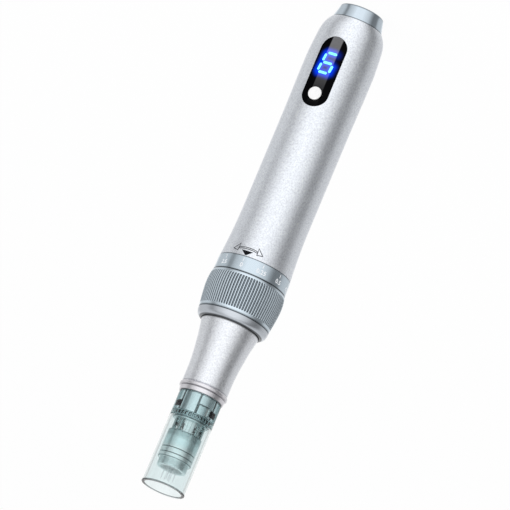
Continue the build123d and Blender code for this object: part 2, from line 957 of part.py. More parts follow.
def make_cartridge_seal():
    body = tube(neck_radius, neck_bore_radius, neck_end, seal_end)
    notch_length = seal_ring_length / 2
    notch = Box(seal_notch_depth + cut_over, seal_notch_width, notch_length, align=outward_up)
    place = neck_radius - seal_notch_depth
    return body - around(seal_ring_notches, place, Pos(0, 0, neck_end + seal_ring_length / 4) * notch)


def make_cartridge_core():
    body = disc(core_radius, core_start, core_end)
    body += disc(core_nose_radius, core_end, core_end + core_nose_length)
    body -= disc(piston_stem_radius + free_gap, core_start - cut_over, core_end)
    body -= disc(core_bore_radius, core_start + core_floor, core_end + core_nose_length + cut_over)
    for place in core_line_places:
        low = core_start + place
        body -= groove(core_radius, core_line_depth, low, low + core_line_width)
    post_tall = post_length + core_floor
    post = Box(post_depth, post_width, post_tall, align=inward_up)
    post -= Box(post_depth * 2, post_slot, post_length, align=inward_up)
    posts = around(post_count, 0.0, Pos(core_radius, 0, seal_end) * post, post_turn)
    ring = tube(core_radius, core_radius - post_depth, seal_end, seal_end + core_line_width * 2)
    return body + posts + ring


def make_cartridge_spring():
    seat = piston_spring_wire / 2 + spring_seat_gap
    start, end = spring_start + seat, core_start - seat
    return coil(piston_spring_radius, piston_spring_wire, start, end, piston_spring_turns)


# Needle piston
def block_start():
    return core_start + core_floor + block_gap


def make_needle_piston():
    body = disc(piston_stem_radius, rod_end, block_start())
    return body + disc(piston_flange_radius, piston_flange_start, spring_start)


def needle_pins():
    start = block_start() + block_thickness - needle_root
    shaft_end = needle_tip - needle_point
    pin = disc(needle_radius, start, shaft_end)
    pin += Pos(0, 0, shaft_end) * Cone(needle_radius, 0.0, needle_point, align=tail_side)
    return [place * pin for count, radius in needle_rings for place in PolarLocations(radius, count)]


def make_needle_block():
    return disc(block_radius, block_start(), block_start() + block_thickness) - needle_pins()


def make_needles():
    return Compound(needle_pins())


makers = {
    "tail_cap": make_tail_cap,
    "tail_seal": make_tail_seal,
    "charging_socket": make_charging_socket,
    "socket_nut": make_socket_nut,
    "body_shell": make_body_shell,
    "display_window": make_display_window,
    "led_display": make_led_display,
    "tact_switch": make_tact_switch,
    "power_button": make_power_button,
    "main_board": make_main_board,
    "board_chips": make_board_chips,
    "board_screws": make_board_screws,
    "battery_cell": make_battery_cell,
    "battery_tabs": make_battery_tabs,
    "battery_cradle": make_battery_cradle,
    "chassis_tube": make_chassis_tube,
    "ring_clip": make_ring_clip,
    "friction_ring": make_friction_ring,
    "depth_ring": make_depth_ring,
    "scale_band": make_scale_band,
    "ring_lip": make_ring_lip,
    "drive_carriage": make_drive_carriage,
    "carriage_pin": make_carriage_pin,
    "rod_bush": make_rod_bush,
    "motor_can": make_motor_can,
    "motor_end_cap": make_motor_end_cap,
    "motor_magnet": make_motor_magnet,
    "motor_terminals": make_motor_terminals,
    "motor_shaft": make_motor_shaft,
    "motor_rotor": make_motor_rotor,
    "swash_cam": make_swash_cam,
    "drive_rod": make_drive_rod,
    "cam_follower": make_cam_follower,
    "rod_spring": make_rod_spring,
    "nose_cone": make_nose_cone,
    "nose_bush": make_nose_bush,
    "nose_seal": make_nose_seal,
    "nose_collar": make_nose_collar,
    "cartridge_tube": make_cartridge_tube,
    "cartridge_base": make_cartridge_base,
    "latch_blocks": make_latch_blocks,
    "spigot_ring": make_spigot_ring,
    "cartridge_seal": make_cartridge_seal,
    "cartridge_core": make_cartridge_core,
    "cartridge_spring": make_cartridge_spring,
    "needle_piston": make_needle_piston,
    "needle_block": make_needle_block,
    "needles": make_needles,
}

os.makedirs("parts", exist_ok=True)
for name, maker in makers.items():
    export_step(maker(), f"parts/{name}.step")
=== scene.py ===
import bpy
import numpy as np
from mathutils import Matrix


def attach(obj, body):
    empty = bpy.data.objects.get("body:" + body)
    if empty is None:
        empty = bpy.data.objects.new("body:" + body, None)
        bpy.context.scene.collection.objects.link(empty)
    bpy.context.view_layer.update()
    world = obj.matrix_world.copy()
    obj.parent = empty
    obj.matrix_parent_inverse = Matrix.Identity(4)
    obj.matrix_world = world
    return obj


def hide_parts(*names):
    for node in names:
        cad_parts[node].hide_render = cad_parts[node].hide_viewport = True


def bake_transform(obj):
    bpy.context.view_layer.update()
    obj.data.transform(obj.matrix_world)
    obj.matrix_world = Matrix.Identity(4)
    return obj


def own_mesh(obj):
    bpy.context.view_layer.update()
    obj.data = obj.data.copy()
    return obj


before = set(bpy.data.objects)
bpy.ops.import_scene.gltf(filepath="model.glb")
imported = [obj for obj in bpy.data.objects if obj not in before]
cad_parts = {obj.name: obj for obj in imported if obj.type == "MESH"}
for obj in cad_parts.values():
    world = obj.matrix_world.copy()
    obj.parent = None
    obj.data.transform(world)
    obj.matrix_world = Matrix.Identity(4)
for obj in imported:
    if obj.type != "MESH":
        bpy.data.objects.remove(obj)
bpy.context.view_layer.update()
mm = 0.001                     # everything below is written in millimetres along the pen's axis
front = -90.0                  # the window looks this way round the pen, in degrees
finishes = {}                  # every material made here, and the sky, by name


class Plan(dict):
    # the dictionary of one piece; its entries are also read as plan.entry
    __getattr__ = dict.__getitem__


# shader helpers
class Signal:
    # a socket in a shader; arithmetic on it adds Math nodes
    def __init__(self, finish, socket):
        self.finish, self.socket = finish, socket

    def mathWith(self, operation, first, second):
        return self.finish.add("ShaderNodeMath", {"operation": operation}, {0: first, 1: second})

    def __add__(self, other):
        return self.mathWith("ADD", self, other)

    def __sub__(self, other):
        return self.mathWith("SUBTRACT", self, other)

    def __rsub__(self, other):
        return self.mathWith("SUBTRACT", other, self)

    def __mul__(self, other):
        return self.mathWith("MULTIPLY", self, other)

    __radd__ = __add__
    __rmul__ = __mul__

    def raised(self, power):
        return self.mathWith("POWER", self, power)

    def least(self, other):
        return self.mathWith("MINIMUM", self, other)

    def most(self, other):
        return self.mathWith("MAXIMUM", self, other)

    def ramp(self, low, high):
        # 0 below low, 1 above high, an easy curve between; low may be the larger
        settings = {"interpolation_type": "SMOOTHSTEP", "clamp": True}
        values = {"Value": self, "From Min": min(low, high), "From Max": max(low, high)}
        eased = self.finish.add("ShaderNodeMapRange", settings, values)
        return 1 - eased if low > high else eased


class Finish:
    # the nodes of one material, or of the sky
    def __init__(self, name, owner=None):
        self.name, self.owner = name, owner or bpy.data.materials.new(name)
        self.owner.use_nodes = True
        self.tree = self.owner.node_tree
        self.tree.nodes.clear()
        self.spot = None

    def add(self, kind, settings=None, values=None, output=0):
        node = self.tree.nodes.new(kind)
        for key, value in (settings or {}).items():
            setattr(node, key, value)
        for key, value in (values or {}).items():
            socket = node.inputs[key]
            if isinstance(value, Signal):
                self.tree.links.new(value.socket, socket)
            elif isinstance(value, tuple) and len(value) == 3 and socket.type == "RGBA":
                socket.default_value = (*value, 1)
            else:
                socket.default_value = value
        return Signal(self, node.outputs[output])

    def place(self):
        # Object coordinates in millimetres
        if self.spot is None:
            self.spot = self.scaled(self.add("ShaderNodeTexCoord", output="Object"), 1 / mm)
        return self.spot

    def scaled(self, vector, share):
        return self.add("ShaderNodeVectorMath", {"operation": "SCALE"}, {0: vector, "Scale": share})

    def parts(self):
        return [self.add("ShaderNodeSeparateXYZ", None, {0: self.place()}, output=k) for k in range(3)]

    def noise(self, grain, detail=2.0, stretch=None):
        # soft noise around 0.5 whose spots are about one grain wide
        where = self.place()
        if stretch:
            where = self.add("ShaderNodeVectorMath", {"operation": "MULTIPLY"}, {0: where, 1: stretch})
        return self.add("ShaderNodeTexNoise", None, {"Vector": where, "Scale": 1 / grain, "Detail": detail})

    def attribute(self, name):
        return self.add("ShaderNodeAttribute", {"attribute_name": name}, output="Fac")

    def blend(self, share, low, high):
        settings = {"data_type": "RGBA", "blend_type": "MIX"}
        return self.add("ShaderNodeMix", settings, {"Factor": share, 6: low, 7: high}, output=2)

    def bump(self, height, depth, strength):
        values = {"Strength": strength, "Distance": depth * mm, "Height": height}
        return self.add("ShaderNodeBump", None, values)

    def principled(self, **values):
        named = {
            "colour": "Base Color", "metallic": "Metallic", "roughness": "Roughness", "normal": "Normal",
            "clearness": "Transmission Weight", "index": "IOR", "specular": "Specular IOR Level",
            "coat": "Coat Weight", "alpha": "Alpha",
            "glow": "Emission Color", "glowStrength": "Emission Strength",
        }
        values = {named[key]: value for key, value in values.items()}
        self.finishWith(self.add("ShaderNodeBsdfPrincipled", None, values))

    def finishWith(self, shader, kind="ShaderNodeOutputMaterial"):
        self.tree.links.new(shader.socket, self.tree.nodes.new(kind).inputs["Surface"])
        finishes[self.name] = self.owner


def dimmed(colour, share):
    # the colour times a share
    return tuple(share * part for part in colour)


# surface helpers
def gridFaces(rows, columns, wrapRows=True):
    # quads between neighbouring points of closed rows, numbered row by row; the last row may meet the first
    i, j = np.meshgrid(np.arange(rows if wrapRows else rows - 1), np.arange(columns), indexing="ij")
    i2, j2 = (i + 1) % rows, (j + 1) % columns
    corners = [i * columns + j, i * columns + j2, i2 * columns + j2, i2 * columns + j]
    return np.stack(corners, -1).reshape(-1, 4)


def fan(tip, ring):
    # triangles from one point to each run of a closed ring of points
    return np.stack([np.full(len(ring), tip), ring, np.roll(ring, -1)], -1)


def facingOut(points, faces):
    # turns a closed surface round if the tetrahedra from the origin to its faces add up to less than nothing
    volume = 0.0
    for group in faces:
        corners = points[group]
        for k in range(1, group.shape[1] - 1):
            volume += np.einsum("ij,ij->i", corners[:, 0], np.cross(corners[:, k], corners[:, k + 1])).sum()
    return points, [group[:, ::-1] for group in faces] if volume < 0 else faces


def capped(rings, ends):
    # rows of closed rings, closed at each end by a fan of triangles round a point
    rows, columns = rings.shape[:2]
    count, ring = rows * columns, np.arange(columns)
    fans = np.concatenate([fan(count, ring)[:, ::-1], fan(count + 1, count - columns + ring)])
    return facingOut(np.concatenate([rings.reshape(-1, 3), ends]), [gridFaces(rows, columns, False), fans])


def together(solids):
    # several solids as one
    points, faces, count = [], [], 0
    for solidPoints, solidFaces in solids:
        points.append(solidPoints)
        faces += [group + count for group in solidFaces]
        count += len(solidPoints)
    return np.concatenate(points), faces


def piece(name, solid, body, finish, replaced=(), sharp=40.0, shades=None):
    # puts a solid in millimetres into the scene as a piece that rides on a body
    points, faces = solid
    mesh = bpy.data.meshes.new(name)
    corners = np.concatenate([group.reshape(-1) for group in faces]).astype(np.int32)
    totals = np.concatenate([np.full(len(group), group.shape[1]) for group in faces]).astype(np.int32)
    starts = np.concatenate([[0], np.cumsum(totals)[:-1]]).astype(np.int32)
    mesh.vertices.add(len(points))
    mesh.vertices.foreach_set("co", (points * mm).astype(np.float32).ravel())
    mesh.loops.add(len(corners))
    mesh.loops.foreach_set("vertex_index", corners)
    mesh.polygons.add(len(totals))
    mesh.polygons.foreach_set("loop_start", starts)
    mesh.polygons.foreach_set("loop_total", totals)
    mesh.update(calc_edges=True)
    mesh.validate()
    mesh.shade_smooth()
    mesh.set_sharp_from_angle(angle=np.radians(sharp))
    for key, values in (shades or {}).items():
        layer = mesh.attributes.new(key, "FLOAT", "POINT")
        layer.data.foreach_set("value", np.asarray(values, np.float32).ravel())
    mesh.materials.append(finishes[finish])
    made = bpy.data.objects.new(name, mesh)
    bpy.context.scene.collection.objects.link(made)
    if body:
        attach(made, body)
    if replaced:
        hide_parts(*replaced)
    return made


def paired(first, second):
    # points from two rows of numbers, either of which may be one number
    return np.stack(np.broadcast_arrays(first, second), -1).astype(float)


def eased(corners, steps=5):
    # a closed outline of (radius, height, reach) corners, cut back by their reach and bridged by parabolas
    table = np.array(corners, float)
    points, reach = table[:, :2], table[:, 2]
    before, after = np.roll(points, 1, axis=0) - points, np.roll(points, -1, axis=0) - points
    longBefore, longAfter = np.linalg.norm(before, axis=1), np.linalg.norm(after, axis=1)
    back = np.minimum(reach, 0.45 * np.minimum(longBefore, longAfter))
    start = points + before * (back / longBefore)[:, None]
    end = points + after * (back / longAfter)[:, None]
    t = np.linspace(0, 1, steps)[None, :, None]
    bridge = (1 - t) ** 2 * start[:, None] + 2 * t * (1 - t) * points[:, None] + t ** 2 * end[:, None]
    kept = np.ones(bridge.shape[:2], bool)
    kept[back == 0, 1:] = False
    return bridge[kept]


def spread(outline, longest, closed=True):
    # adds points on the straight runs of an outline, evenly, so that none is longer than this
    starts = outline if closed else outline[:-1]
    runs = (np.roll(outline, -1, axis=0) if closed else outline[1:]) - starts
    counts = np.maximum(1, np.ceil(np.linalg.norm(runs, axis=1) / longest).astype(int))
    step = np.arange(counts.sum()) - np.repeat(np.cumsum(counts) - counts, counts)
    share = step / np.repeat(counts, counts)
    filled = np.repeat(starts, counts, axis=0) + np.repeat(runs, counts, axis=0) * share[:, None]
    return filled if closed else np.concatenate([filled, outline[-1:]])


def smoothLine(knots, startSlope=None, endSlope=None, count=40):
    # a cubic from knot to knot whose slope and bend run on evenly; the knots' slopes solve one linear system
    knots = np.array(knots, float)
    span = np.linalg.norm(np.diff(knots, axis=0), axis=1)
    n = len(knots)
    system, target = np.zeros((n, n)), np.zeros((n, 2))
    for k in range(1, n - 1):
        system[k, k - 1:k + 2] = 1 / span[k - 1], 2 / span[k - 1] + 2 / span[k], 1 / span[k]
        target[k] = sum(3 * (knots[j + 1] - knots[j]) / span[j] ** 2 for j in (k - 1, k))
    for k, beside, slope in ((0, 1, startSlope), (n - 1, n - 2, endSlope)):
        system[k, k] = 2 if slope is None else 1
        if slope is None:
            system[k, beside] = 1
            target[k] = 3 * (knots[max(k, beside)] - knots[min(k, beside)]) / span[min(k, beside)]
        else:
            target[k] = np.array(slope) / np.linalg.norm(slope)
    slopes = np.linalg.solve(system, target)
    along = np.concatenate([[0], np.cumsum(span)])
    where = np.linspace(0, along[-1], count)
    k = np.clip(np.searchsorted(along, where, side="right") - 1, 0, n - 2)
    h = span[k][:, None]
    t = ((where - along[k]) / span[k])[:, None]
    return (
        (2 * t ** 3 - 3 * t ** 2 + 1) * knots[k] + (t ** 3 - 2 * t ** 2 + t) * h * slopes[k]
        + (3 * t ** 2 - 2 * t ** 3) * knots[k + 1] + (t ** 3 - t ** 2) * h * slopes[k + 1]
    )


def around(radius, angle, height):
    # a point at this radius and angle round the pen's axis
    turn = np.radians(angle)
    return np.stack(np.broadcast_arrays(radius * np.cos(turn), radius * np.sin(turn), height), -1)


def turnsOf(columns):
    # even angles once round the axis, the first on the window's side
    return front + np.arange(columns) * 360 / columns


def near(angle, middle):
    # how far one angle is from another, the short way round
    return np.abs((angle - middle + 180) % 360 - 180)


def turned(radius, height, columns):
    # a closed surface round the axis: a height for each row, a radius for each row or for each row and column
    points = around(np.reshape(radius, (len(height), -1)), turnsOf(columns)[None, :], height[:, None])
    return facingOut(points.reshape(-1, 3), [gridFaces(len(height), columns)])


def turnedPiece(name, plan, radius, height, body, finish, node, slot, sharp=40.0, **shades):
    # a turned surface as a piece; its shades are for its first rows, or for each of their columns
    levels = {}
    for key, values in shades.items():
        levels[key] = np.zeros((len(height), plan.columns))
        levels[key][:len(values)] = np.reshape(values, (len(values), -1))
    piece(name, turned(radius, height, plan.columns), body, finish, [node], sharp, levels)


def thickStrip(angle, height, radiusAt, low, high, closed=False):
    # a thin slab over a grid of (angle, height) on a round surface, between two offsets from it
    top = around(radiusAt(height) + high, angle, height)
    bottom = around(radiusAt(height) + low, angle, height)
    ring = np.concatenate([top, bottom[:, ::-1]], axis=1)
    rows, columns = ring.shape[:2]
    faces = gridFaces(rows, columns, closed)
    if not closed:
        k = np.arange(columns // 2 - 1)
        cap = np.stack([k, k + 1, columns - 2 - k, columns - 1 - k], -1)
        faces = np.concatenate([faces, cap[:, ::-1], cap + (rows - 1) * columns])
    return facingOut(ring.reshape(-1, 3), [faces])


def boxOf(x, y, z):
    # a closed box between two values of each coordinate
    points = np.array([[a, b, c] for a in x for b in y for c in z], float)
    faces = np.array([[0, 1, 3, 2], [4, 6, 7, 5], [0, 4, 5, 1], [2, 3, 7, 6], [0, 2, 6, 4], [1, 5, 7, 3]])
    return facingOut(points, [faces])


def turnedBy(solid, degrees):
    # a solid turned about the pen's axis
    points, faces = solid
    turn = np.radians(degrees)
    c, s = np.cos(turn), np.sin(turn)
    return points @ np.array([[c, s, 0], [-s, c, 0], [0, 0, 1]]), faces


def easy(value, low, high):
    # 0 below low, 1 above high, an easy curve between
    t = np.clip((value - low) / (high - low), 0, 1)
    return t * t * (3 - 2 * t)


def within(value, low, high):
    # 1 below low, 0 above high, an easy curve between
    return 1 - easy(value, low, high)


def paintedShadeBands(height, *joints):
    # painted shade: 0 on open metal, up to the given level within reach of each (height, reach, level) joint
    # or edge
    shade = np.zeros_like(height)
    for place, reach, level in joints:
        shade = np.maximum(shade, level * within(np.abs(height - place), reach * 0.4, reach))
    return shade


def stand(name, data, turn, rise, reach, aim, roll=0.0, shift=(0, 0)):
    # a camera or lamp, turned round the pen, raised above the floor, and looking from this far at a height on
    # the axis; it is rolled about its line of sight and shifted to its right and up
    turn, rise, roll = np.radians((front + turn, rise, roll))
    away = np.array([np.cos(turn) * np.cos(rise), np.sin(turn) * np.cos(rise), np.sin(rise)])
    side = np.cross([0, 0, 1.0], away) / np.cos(rise)
    up = np.cross(away, side)
    right, top = np.cos(roll) * side + np.sin(roll) * up, np.cos(roll) * up - np.sin(roll) * side
    spot = np.array([0, 0, aim]) + shift[0] * right + shift[1] * top + away * reach
    made = bpy.data.objects.new(name, data)
    bpy.context.scene.collection.objects.link(made)
    made.matrix_world = Matrix([*np.stack([right, top, away, spot * mm], -1).tolist(), [0, 0, 0, 1]])
    return made


# camera
cameraPlace = Plan(
    turn=-22.0, rise=14.5, roll=202.78,          # round the pen, above the floor, about the line of sight
    middle=91.06, right=5.43, down=1.09,         # this height on the axis shows this many pixels off centre
    pixels=510, scale=3.0, distance=6000.0,      # picture size, pixels per millimetre, distance
    sensor=36.0, nearest=0.05, farthest=30.0,    # sensor in millimetres, reach of sight in metres
)


def makeCamera():
    # a long lens from far away; its length gives the picture's scale
    c = cameraPlace
    data = bpy.data.cameras.new("photoCamera")
    data.sensor_width, data.lens = c.sensor, c.sensor * c.distance * c.scale / c.pixels
    data.clip_start, data.clip_end = c.nearest, c.farthest
    shift = (-c.right / c.scale, c.down / c.scale)
    bpy.context.scene.camera = stand("photoCamera", data, c.turn, c.rise, c.distance, c.middle, c.roll, shift)


makeCamera()
print("camera done")

# floor and light
lightPlan = Plan(
    floorRings=(60.0, 400.0, 3000.0), floorColumns=96, floorColour=(0.86, 0.86, 0.87), floorWhite=0.96,
    worldWhite=1.0, worldLevel=1.03,
    lampPower=2.4, lampSize=700.0, lampAway=900.0, lampRise=62.0, lampTurn=25.0, lampAim=90.0,
    tentRadius=110.0, tentHeight=420.0, tentLift=0.15, tentFoot=7.8, tentBend=20.0,
    # near the foot the panels are drawn together: 1 + pull x (pull radius / radius) ^ pull power
    tentPull=0.45, tentPullRadius=11.6, tentPullPower=1.3,
    # brightness of the tent's wall against the angle from the camera's side, positive to the picture's left
    tentGlow=((-180, 1.0), (-158, 1.0), (-146, 0.7), (-118, 0.7), (-98, 0.62), (-86, 0.26), (-60, 0.22),
              (-48, 0.44), (-38, 0.72), (-20, 0.96), (-6, 1.14), (28, 1.16), (44, 0.9), (58, 0.74),
              (69, 0.58), (74, 0.34), (84, 0.34), (90, 0.6), (104, 0.72), (146, 0.66), (158, 1.0),
              (180, 1.0)),
)


def seenRays(finish):
    # 1 for rays from the camera and for those that metal and glass send on
    path = finish.add("ShaderNodeLightPath").socket.node
    rays = [Signal(finish, path.outputs[f"Is {kind} Ray"]) for kind in ("Camera", "Glossy", "Transmission")]
    return rays[0].most(rays[1]).most(rays[2])


def makeFloor():
    # a flat disc of rings round a point, pale grey to the light and almost white to the eye
    plan, finish = lightPlan, Finish("paleFloor")
    colour = finish.blend(finish.noise(60.0), dimmed(plan.floorColour, 0.97), plan.floorColour)
    matt = finish.add("ShaderNodeBsdfDiffuse", None, {"Color": colour})
    white = finish.add("ShaderNodeEmission", None, {"Color": (1.0, 1.0, 1.0), "Strength": 1.0})
    values = {0: seenRays(finish) * plan.floorWhite, 1: matt, 2: white}
    finish.finishWith(finish.add("ShaderNodeMixShader", None, values))
    rings, count = np.array(plan.floorRings)[:, None], plan.floorColumns
    points = np.concatenate([around(rings, turnsOf(count)[None, :] - front, 0).reshape(-1, 3), [[0, 0, 0]]])
    faces = [gridFaces(len(rings), count, False)[:, ::-1], fan(len(rings) * count, np.arange(count))]
    piece("floor", (points, faces), None, "paleFloor")


def makeWorld():
    # an even sky with one strength for what is seen and one for what it lights
    world = bpy.context.scene.world = bpy.data.worlds.new("studio")
    sky = Finish("studio", world)
    values = {"Value": seenRays(sky), "To Min": lightPlan.worldLevel, "To Max": lightPlan.worldWhite}
    level = sky.add("ShaderNodeMapRange", None, values)
    sky.finishWith(sky.add("ShaderNodeBackground", None, {"Strength": level}), "ShaderNodeOutputWorld")


def makeTent():
    # a bowl of soft light round the pen that only gloss and glass see, with brighter and darker panels
    plan, finish = lightPlan, Finish("tentPanels")
    shine = finish.add("ShaderNodeEmission", None, {"Color": finish.attribute("panel")})
    clear = finish.add("ShaderNodeBsdfTransparent")
    inside = finish.add("ShaderNodeNewGeometry", output="Backfacing")
    finish.finishWith(finish.add("ShaderNodeMixShader", None, {0: inside, 1: clear, 2: shine}))
    radius, lift, bend = plan.tentRadius, plan.tentLift, plan.tentBend
    turn = np.radians(np.linspace(0, 90, 10))[1:]
    line = np.concatenate([
        paired(np.geomspace(plan.tentFoot, radius - bend, 24), lift),
        paired(radius - bend + bend * np.sin(turn), lift + bend - bend * np.cos(turn)),
        paired(radius, lift + np.linspace(bend, plan.tentHeight, 12)[1:])])
    angle = np.arange(360.0)
    facing = (angle - (front + cameraPlace.turn) + 180) % 360 - 180
    pull = 1 + plan.tentPull * (plan.tentPullRadius / line[:, :1]) ** plan.tentPullPower
    panel = np.interp(np.clip(facing[None, :] * pull, -180, 180), *np.transpose(plan.tentGlow))
    points = around(line[:, :1], angle[None, :], line[:, 1:]).reshape(-1, 3)
    faces = [gridFaces(len(line), 360, False)]
    tent = piece("lightTent", (points, faces), None, "tentPanels", shades={"panel": panel})
    tent.visible_camera = tent.visible_diffuse = tent.visible_shadow = False


def makeLamp():
    # a wide soft lamp, above and beside the camera, that gloss doesn't show
    plan = lightPlan
    data = bpy.data.lights.new("softLamp", "AREA")
    data.energy, data.shape, data.size = plan.lampPower, "DISK", plan.lampSize * mm
    turn = cameraPlace.turn + plan.lampTurn
    stand("softLamp", data, turn, plan.lampRise, plan.lampAway, plan.lampAim).visible_glossy = False


makeFloor()
makeWorld()
makeTent()
makeLamp()
bpy.context.scene.view_settings.view_transform = "Standard"
print("floor and light done")

# finishes
skins = {
    # size, detail and stretch of the fine marks and of the clouds under them, how far marks and clouds move
    # the tone and the roughness, and the marks' relief as depth and strength
    "sanded": Plan(marks=(0.5, 3.0), clouds=(6.0, 2.0), tone=(0.8, 0.05),
                   rough=(0.12, 0.05), relief=(0.075, 0.6)),
    "turned": Plan(marks=(1.0, 2.0, (0.15, 0.15, 1 / 0.12)), clouds=(4.0, 2.0), tone=(0.05, 0.06),
                   rough=(0.06, 0.12), relief=(0.003, 0.5)),
    "moulded": Plan(marks=(0.3, 2.0), clouds=(5.0, 1.0), tone=(0.06, 0.06),
                    rough=(0, 0.1), relief=(0.004, 0.6)),
}
plainFinishes = {
    # skin, colour, roughness, and where they differ how far marks and clouds move the tone, and other values
    "bodySilver": ("sanded", (0.84, 0.875, 0.93), 0.4), "noseSilver": ("sanded", (0.85, 0.875, 0.92), 0.36),
    "collarSilver": ("sanded", (0.80, 0.79, 0.83), 0.26, (0.2, 0.05)),
    "lipSilver": ("turned", (0.62, 0.66, 0.71), 0.3), "blueSteel": ("turned", (0.62, 0.71, 0.79), 0.16),
    "bandSteel": ("turned", (0.62, 0.715, 0.79), 0.2), "knurlSteel": ("turned", (0.69, 0.79, 0.87), 0.22),
    "bareSteel": ("turned", (0.62, 0.62, 0.63), 0.28), "needleSteel": ("turned", (0.92, 0.94, 0.96), 0.15),
    "bareAluminium": ("turned", (0.78, 0.78, 0.79), 0.34), "nickelPlate": ("turned", (0.72, 0.69, 0.63), 0.2),
    "bronzeBush": ("turned", (0.63, 0.42, 0.22), 0.4), "springSteel": ("turned", (0.60, 0.61, 0.63), 0.22),
    "magnetGrey": ("moulded", (0.08, 0.08, 0.085), 0.6), "framePlastic": ("moulded", (0.09, 0.09, 0.1), 0.5),
    "acetalWhite": ("moulded", (0.75, 0.75, 0.72), 0.42),
    "chipBlack": ("moulded", (0.025, 0.025, 0.028), 0.45),
    "rubberBlack": ("moulded", (0.02, 0.02, 0.022), 0.6),
    "buttonWhite": ("moulded", (0.99, 0.99, 0.99), 0.38, (0.01, 0.01)),
    "printWhite": ("moulded", (0.95, 0.97, 1.0), 0.5, (0.04, 0.04)),
    "boardGreen": ("moulded", (0.015, 0.16, 0.06), 0.4, None, {"coat": 0.4}),
    "cellSleeve": ("moulded", (0.03, 0.12, 0.4), 0.3, None, {"coat": 0.3}),
    "latchDark": ("moulded", (0.002, 0.003, 0.008), 0.35, None, {"specular": 0.05}),
    "printBlack": ("moulded", (0.008, 0.008, 0.01), 0.6, (0.2, 0.2), {"specular": 0.05}),
    "printGrey": ("moulded", (0.035, 0.035, 0.04), 0.6, (0.2, 0.2), {"specular": 0.05}),
}
clearFinishes = {
    # colour, roughness, clearness, sheen, and the dark tone of its painted shade
    "neckTeal": ((0.74, 0.92, 0.96), 0.16, 0.35, 0.7, (0.05, 0.09, 0.1)),
    "coreTeal": ((0.79, 0.98, 1.0), 0.1, 0.2, 0.78, (0.02, 0.10, 0.11)),
    "sealTeal": ((0.4, 0.57, 0.6), 0.2, 0.2, 0.6, (0.01, 0.05, 0.06)),
}


def plainFinish(name, skin, colour, roughness, tone=None, more=None):
    # bead-blasted or turned metal or moulded plastic: value = base + what the marks and the clouds add to it,
    # and metal is darkened by painted shade beside a joint and on some edges
    finish, plan = Finish(name), skins[skin]
    grains = [finish.noise(*plan.marks), finish.noise(*plan.clouds)]

    def moved(base, shares):
        return sum(((grain - 0.5) * share for grain, share in zip(grains, shares) if share), base)

    level, metal = moved(1.0, tone or plan.tone), skin != "moulded"
    # painted shade from the "joint" attribute darkens the metal
    if metal:
        level = level * (1 - finish.attribute("joint"))
    finish.principled(colour=finish.scaled(colour, level), roughness=moved(roughness, plan.rough),
                      normal=finish.bump(grains[0], *plan.relief), metallic=float(metal), **(more or {}))


def clearFinish(name, colour, roughness, clearness, sheen, dark):
    # see-through moulding, a touch cloudy and pearly: "edge" darkens it with painted shade, a second
    # attribute lightens it with painted highlights and glints, and "hollow" makes it thinner
    finish = Finish(name)
    clouds = finish.noise(2.5)
    tone = finish.blend(clouds, dimmed(colour, 0.94), colour)
    # painted highlight
    tone = finish.blend(finish.attribute("pale"), tone, (0.95, 1.0, 1.0))
    # painted shade along edges, slots, grooves and notches
    tone = finish.blend(finish.attribute("edge"), tone, dark)
    finish.principled(colour=tone, roughness=(clouds - 0.5) * 0.05 + roughness, clearness=clearness,
                      index=1.49, metallic=sheen, alpha=1 - finish.attribute("hollow"))


def tubeFinish():
    # clear tube: teal where its wall is seen edge on beside the neck, and painted shade along the edges of
    # its rim
    finish = Finish("tubeClear")
    clouds = finish.noise(2.5)
    glance = finish.add("ShaderNodeLayerWeight", None, {"Blend": 0.5}, output=1)
    tone = finish.blend(clouds, (0.86, 0.925, 0.93), (0.88, 0.94, 0.945))
    beside = glance.ramp(0.42, 0.52) * finish.parts()[2].ramp(153.3, 153.0)
    tone = finish.blend(beside, tone, (0.2, 0.32, 0.33))
    # painted shade along the rim's edges
    tone = finish.blend(finish.attribute("edge"), tone, (0.02, 0.03, 0.035))
    finish.principled(colour=tone, roughness=(clouds - 0.5) * 0.03 + 0.03, clearness=1.0, index=1.4,
                      specular=0.2)


for name, values in plainFinishes.items():
    plainFinish(name, *values)
for name, values in clearFinishes.items():
    clearFinish(name, *values)
tubeFinish()
print("finishes done")

# tail cap
tailCap = Plan(
    face=7.55, edge=8.85, length=5.1, round=0.5, rim=0.15, hole=3.2, holeEdge=0.2, spigot=7.6, spigotEnd=9.6,
    spigotEdge=0.2, cavity=6.2, cavityEdge=0.1, wall=5.6, sealFrom=6.35, sealTo=7.25, sealDepth=0.9,
    sealEdge=0.05, run=0.25, columns=160,
)


def makeTailCap():
    # an outline from the hole over the face, the rim and the sealed spigot to the wall inside, carried round
    c = tailCap
    groove = c.spigot - c.sealDepth
    radius, height = spread(eased([
        (c.hole, 0, c.holeEdge), (c.face, 0, c.round), (c.edge, c.length, c.rim), (c.spigot, c.length, 0),
        (c.spigot, c.sealFrom, c.sealEdge), (groove, c.sealFrom, 0), (groove, c.sealTo, 0),
        (c.spigot, c.sealTo, c.sealEdge), (c.spigot, c.spigotEnd, c.spigotEdge),
        (c.cavity, c.spigotEnd, c.cavityEdge), (c.cavity, c.wall, 0), (c.hole, c.wall, 0)], 7), c.run).T
    # painted reflection: a dark line on the rounded edge of the face; painted shade in the gap to the shell
    shade = paintedShadeBands(height, (0.1, 0.55, 0.6), (c.length, 0.3, 0.75)) * (radius > c.spigot - 1)
    turnedPiece("tailCap", c, radius, height, "housing", "blueSteel", "tail_cap", "polished_silver",
                joint=shade)


makeTailCap()

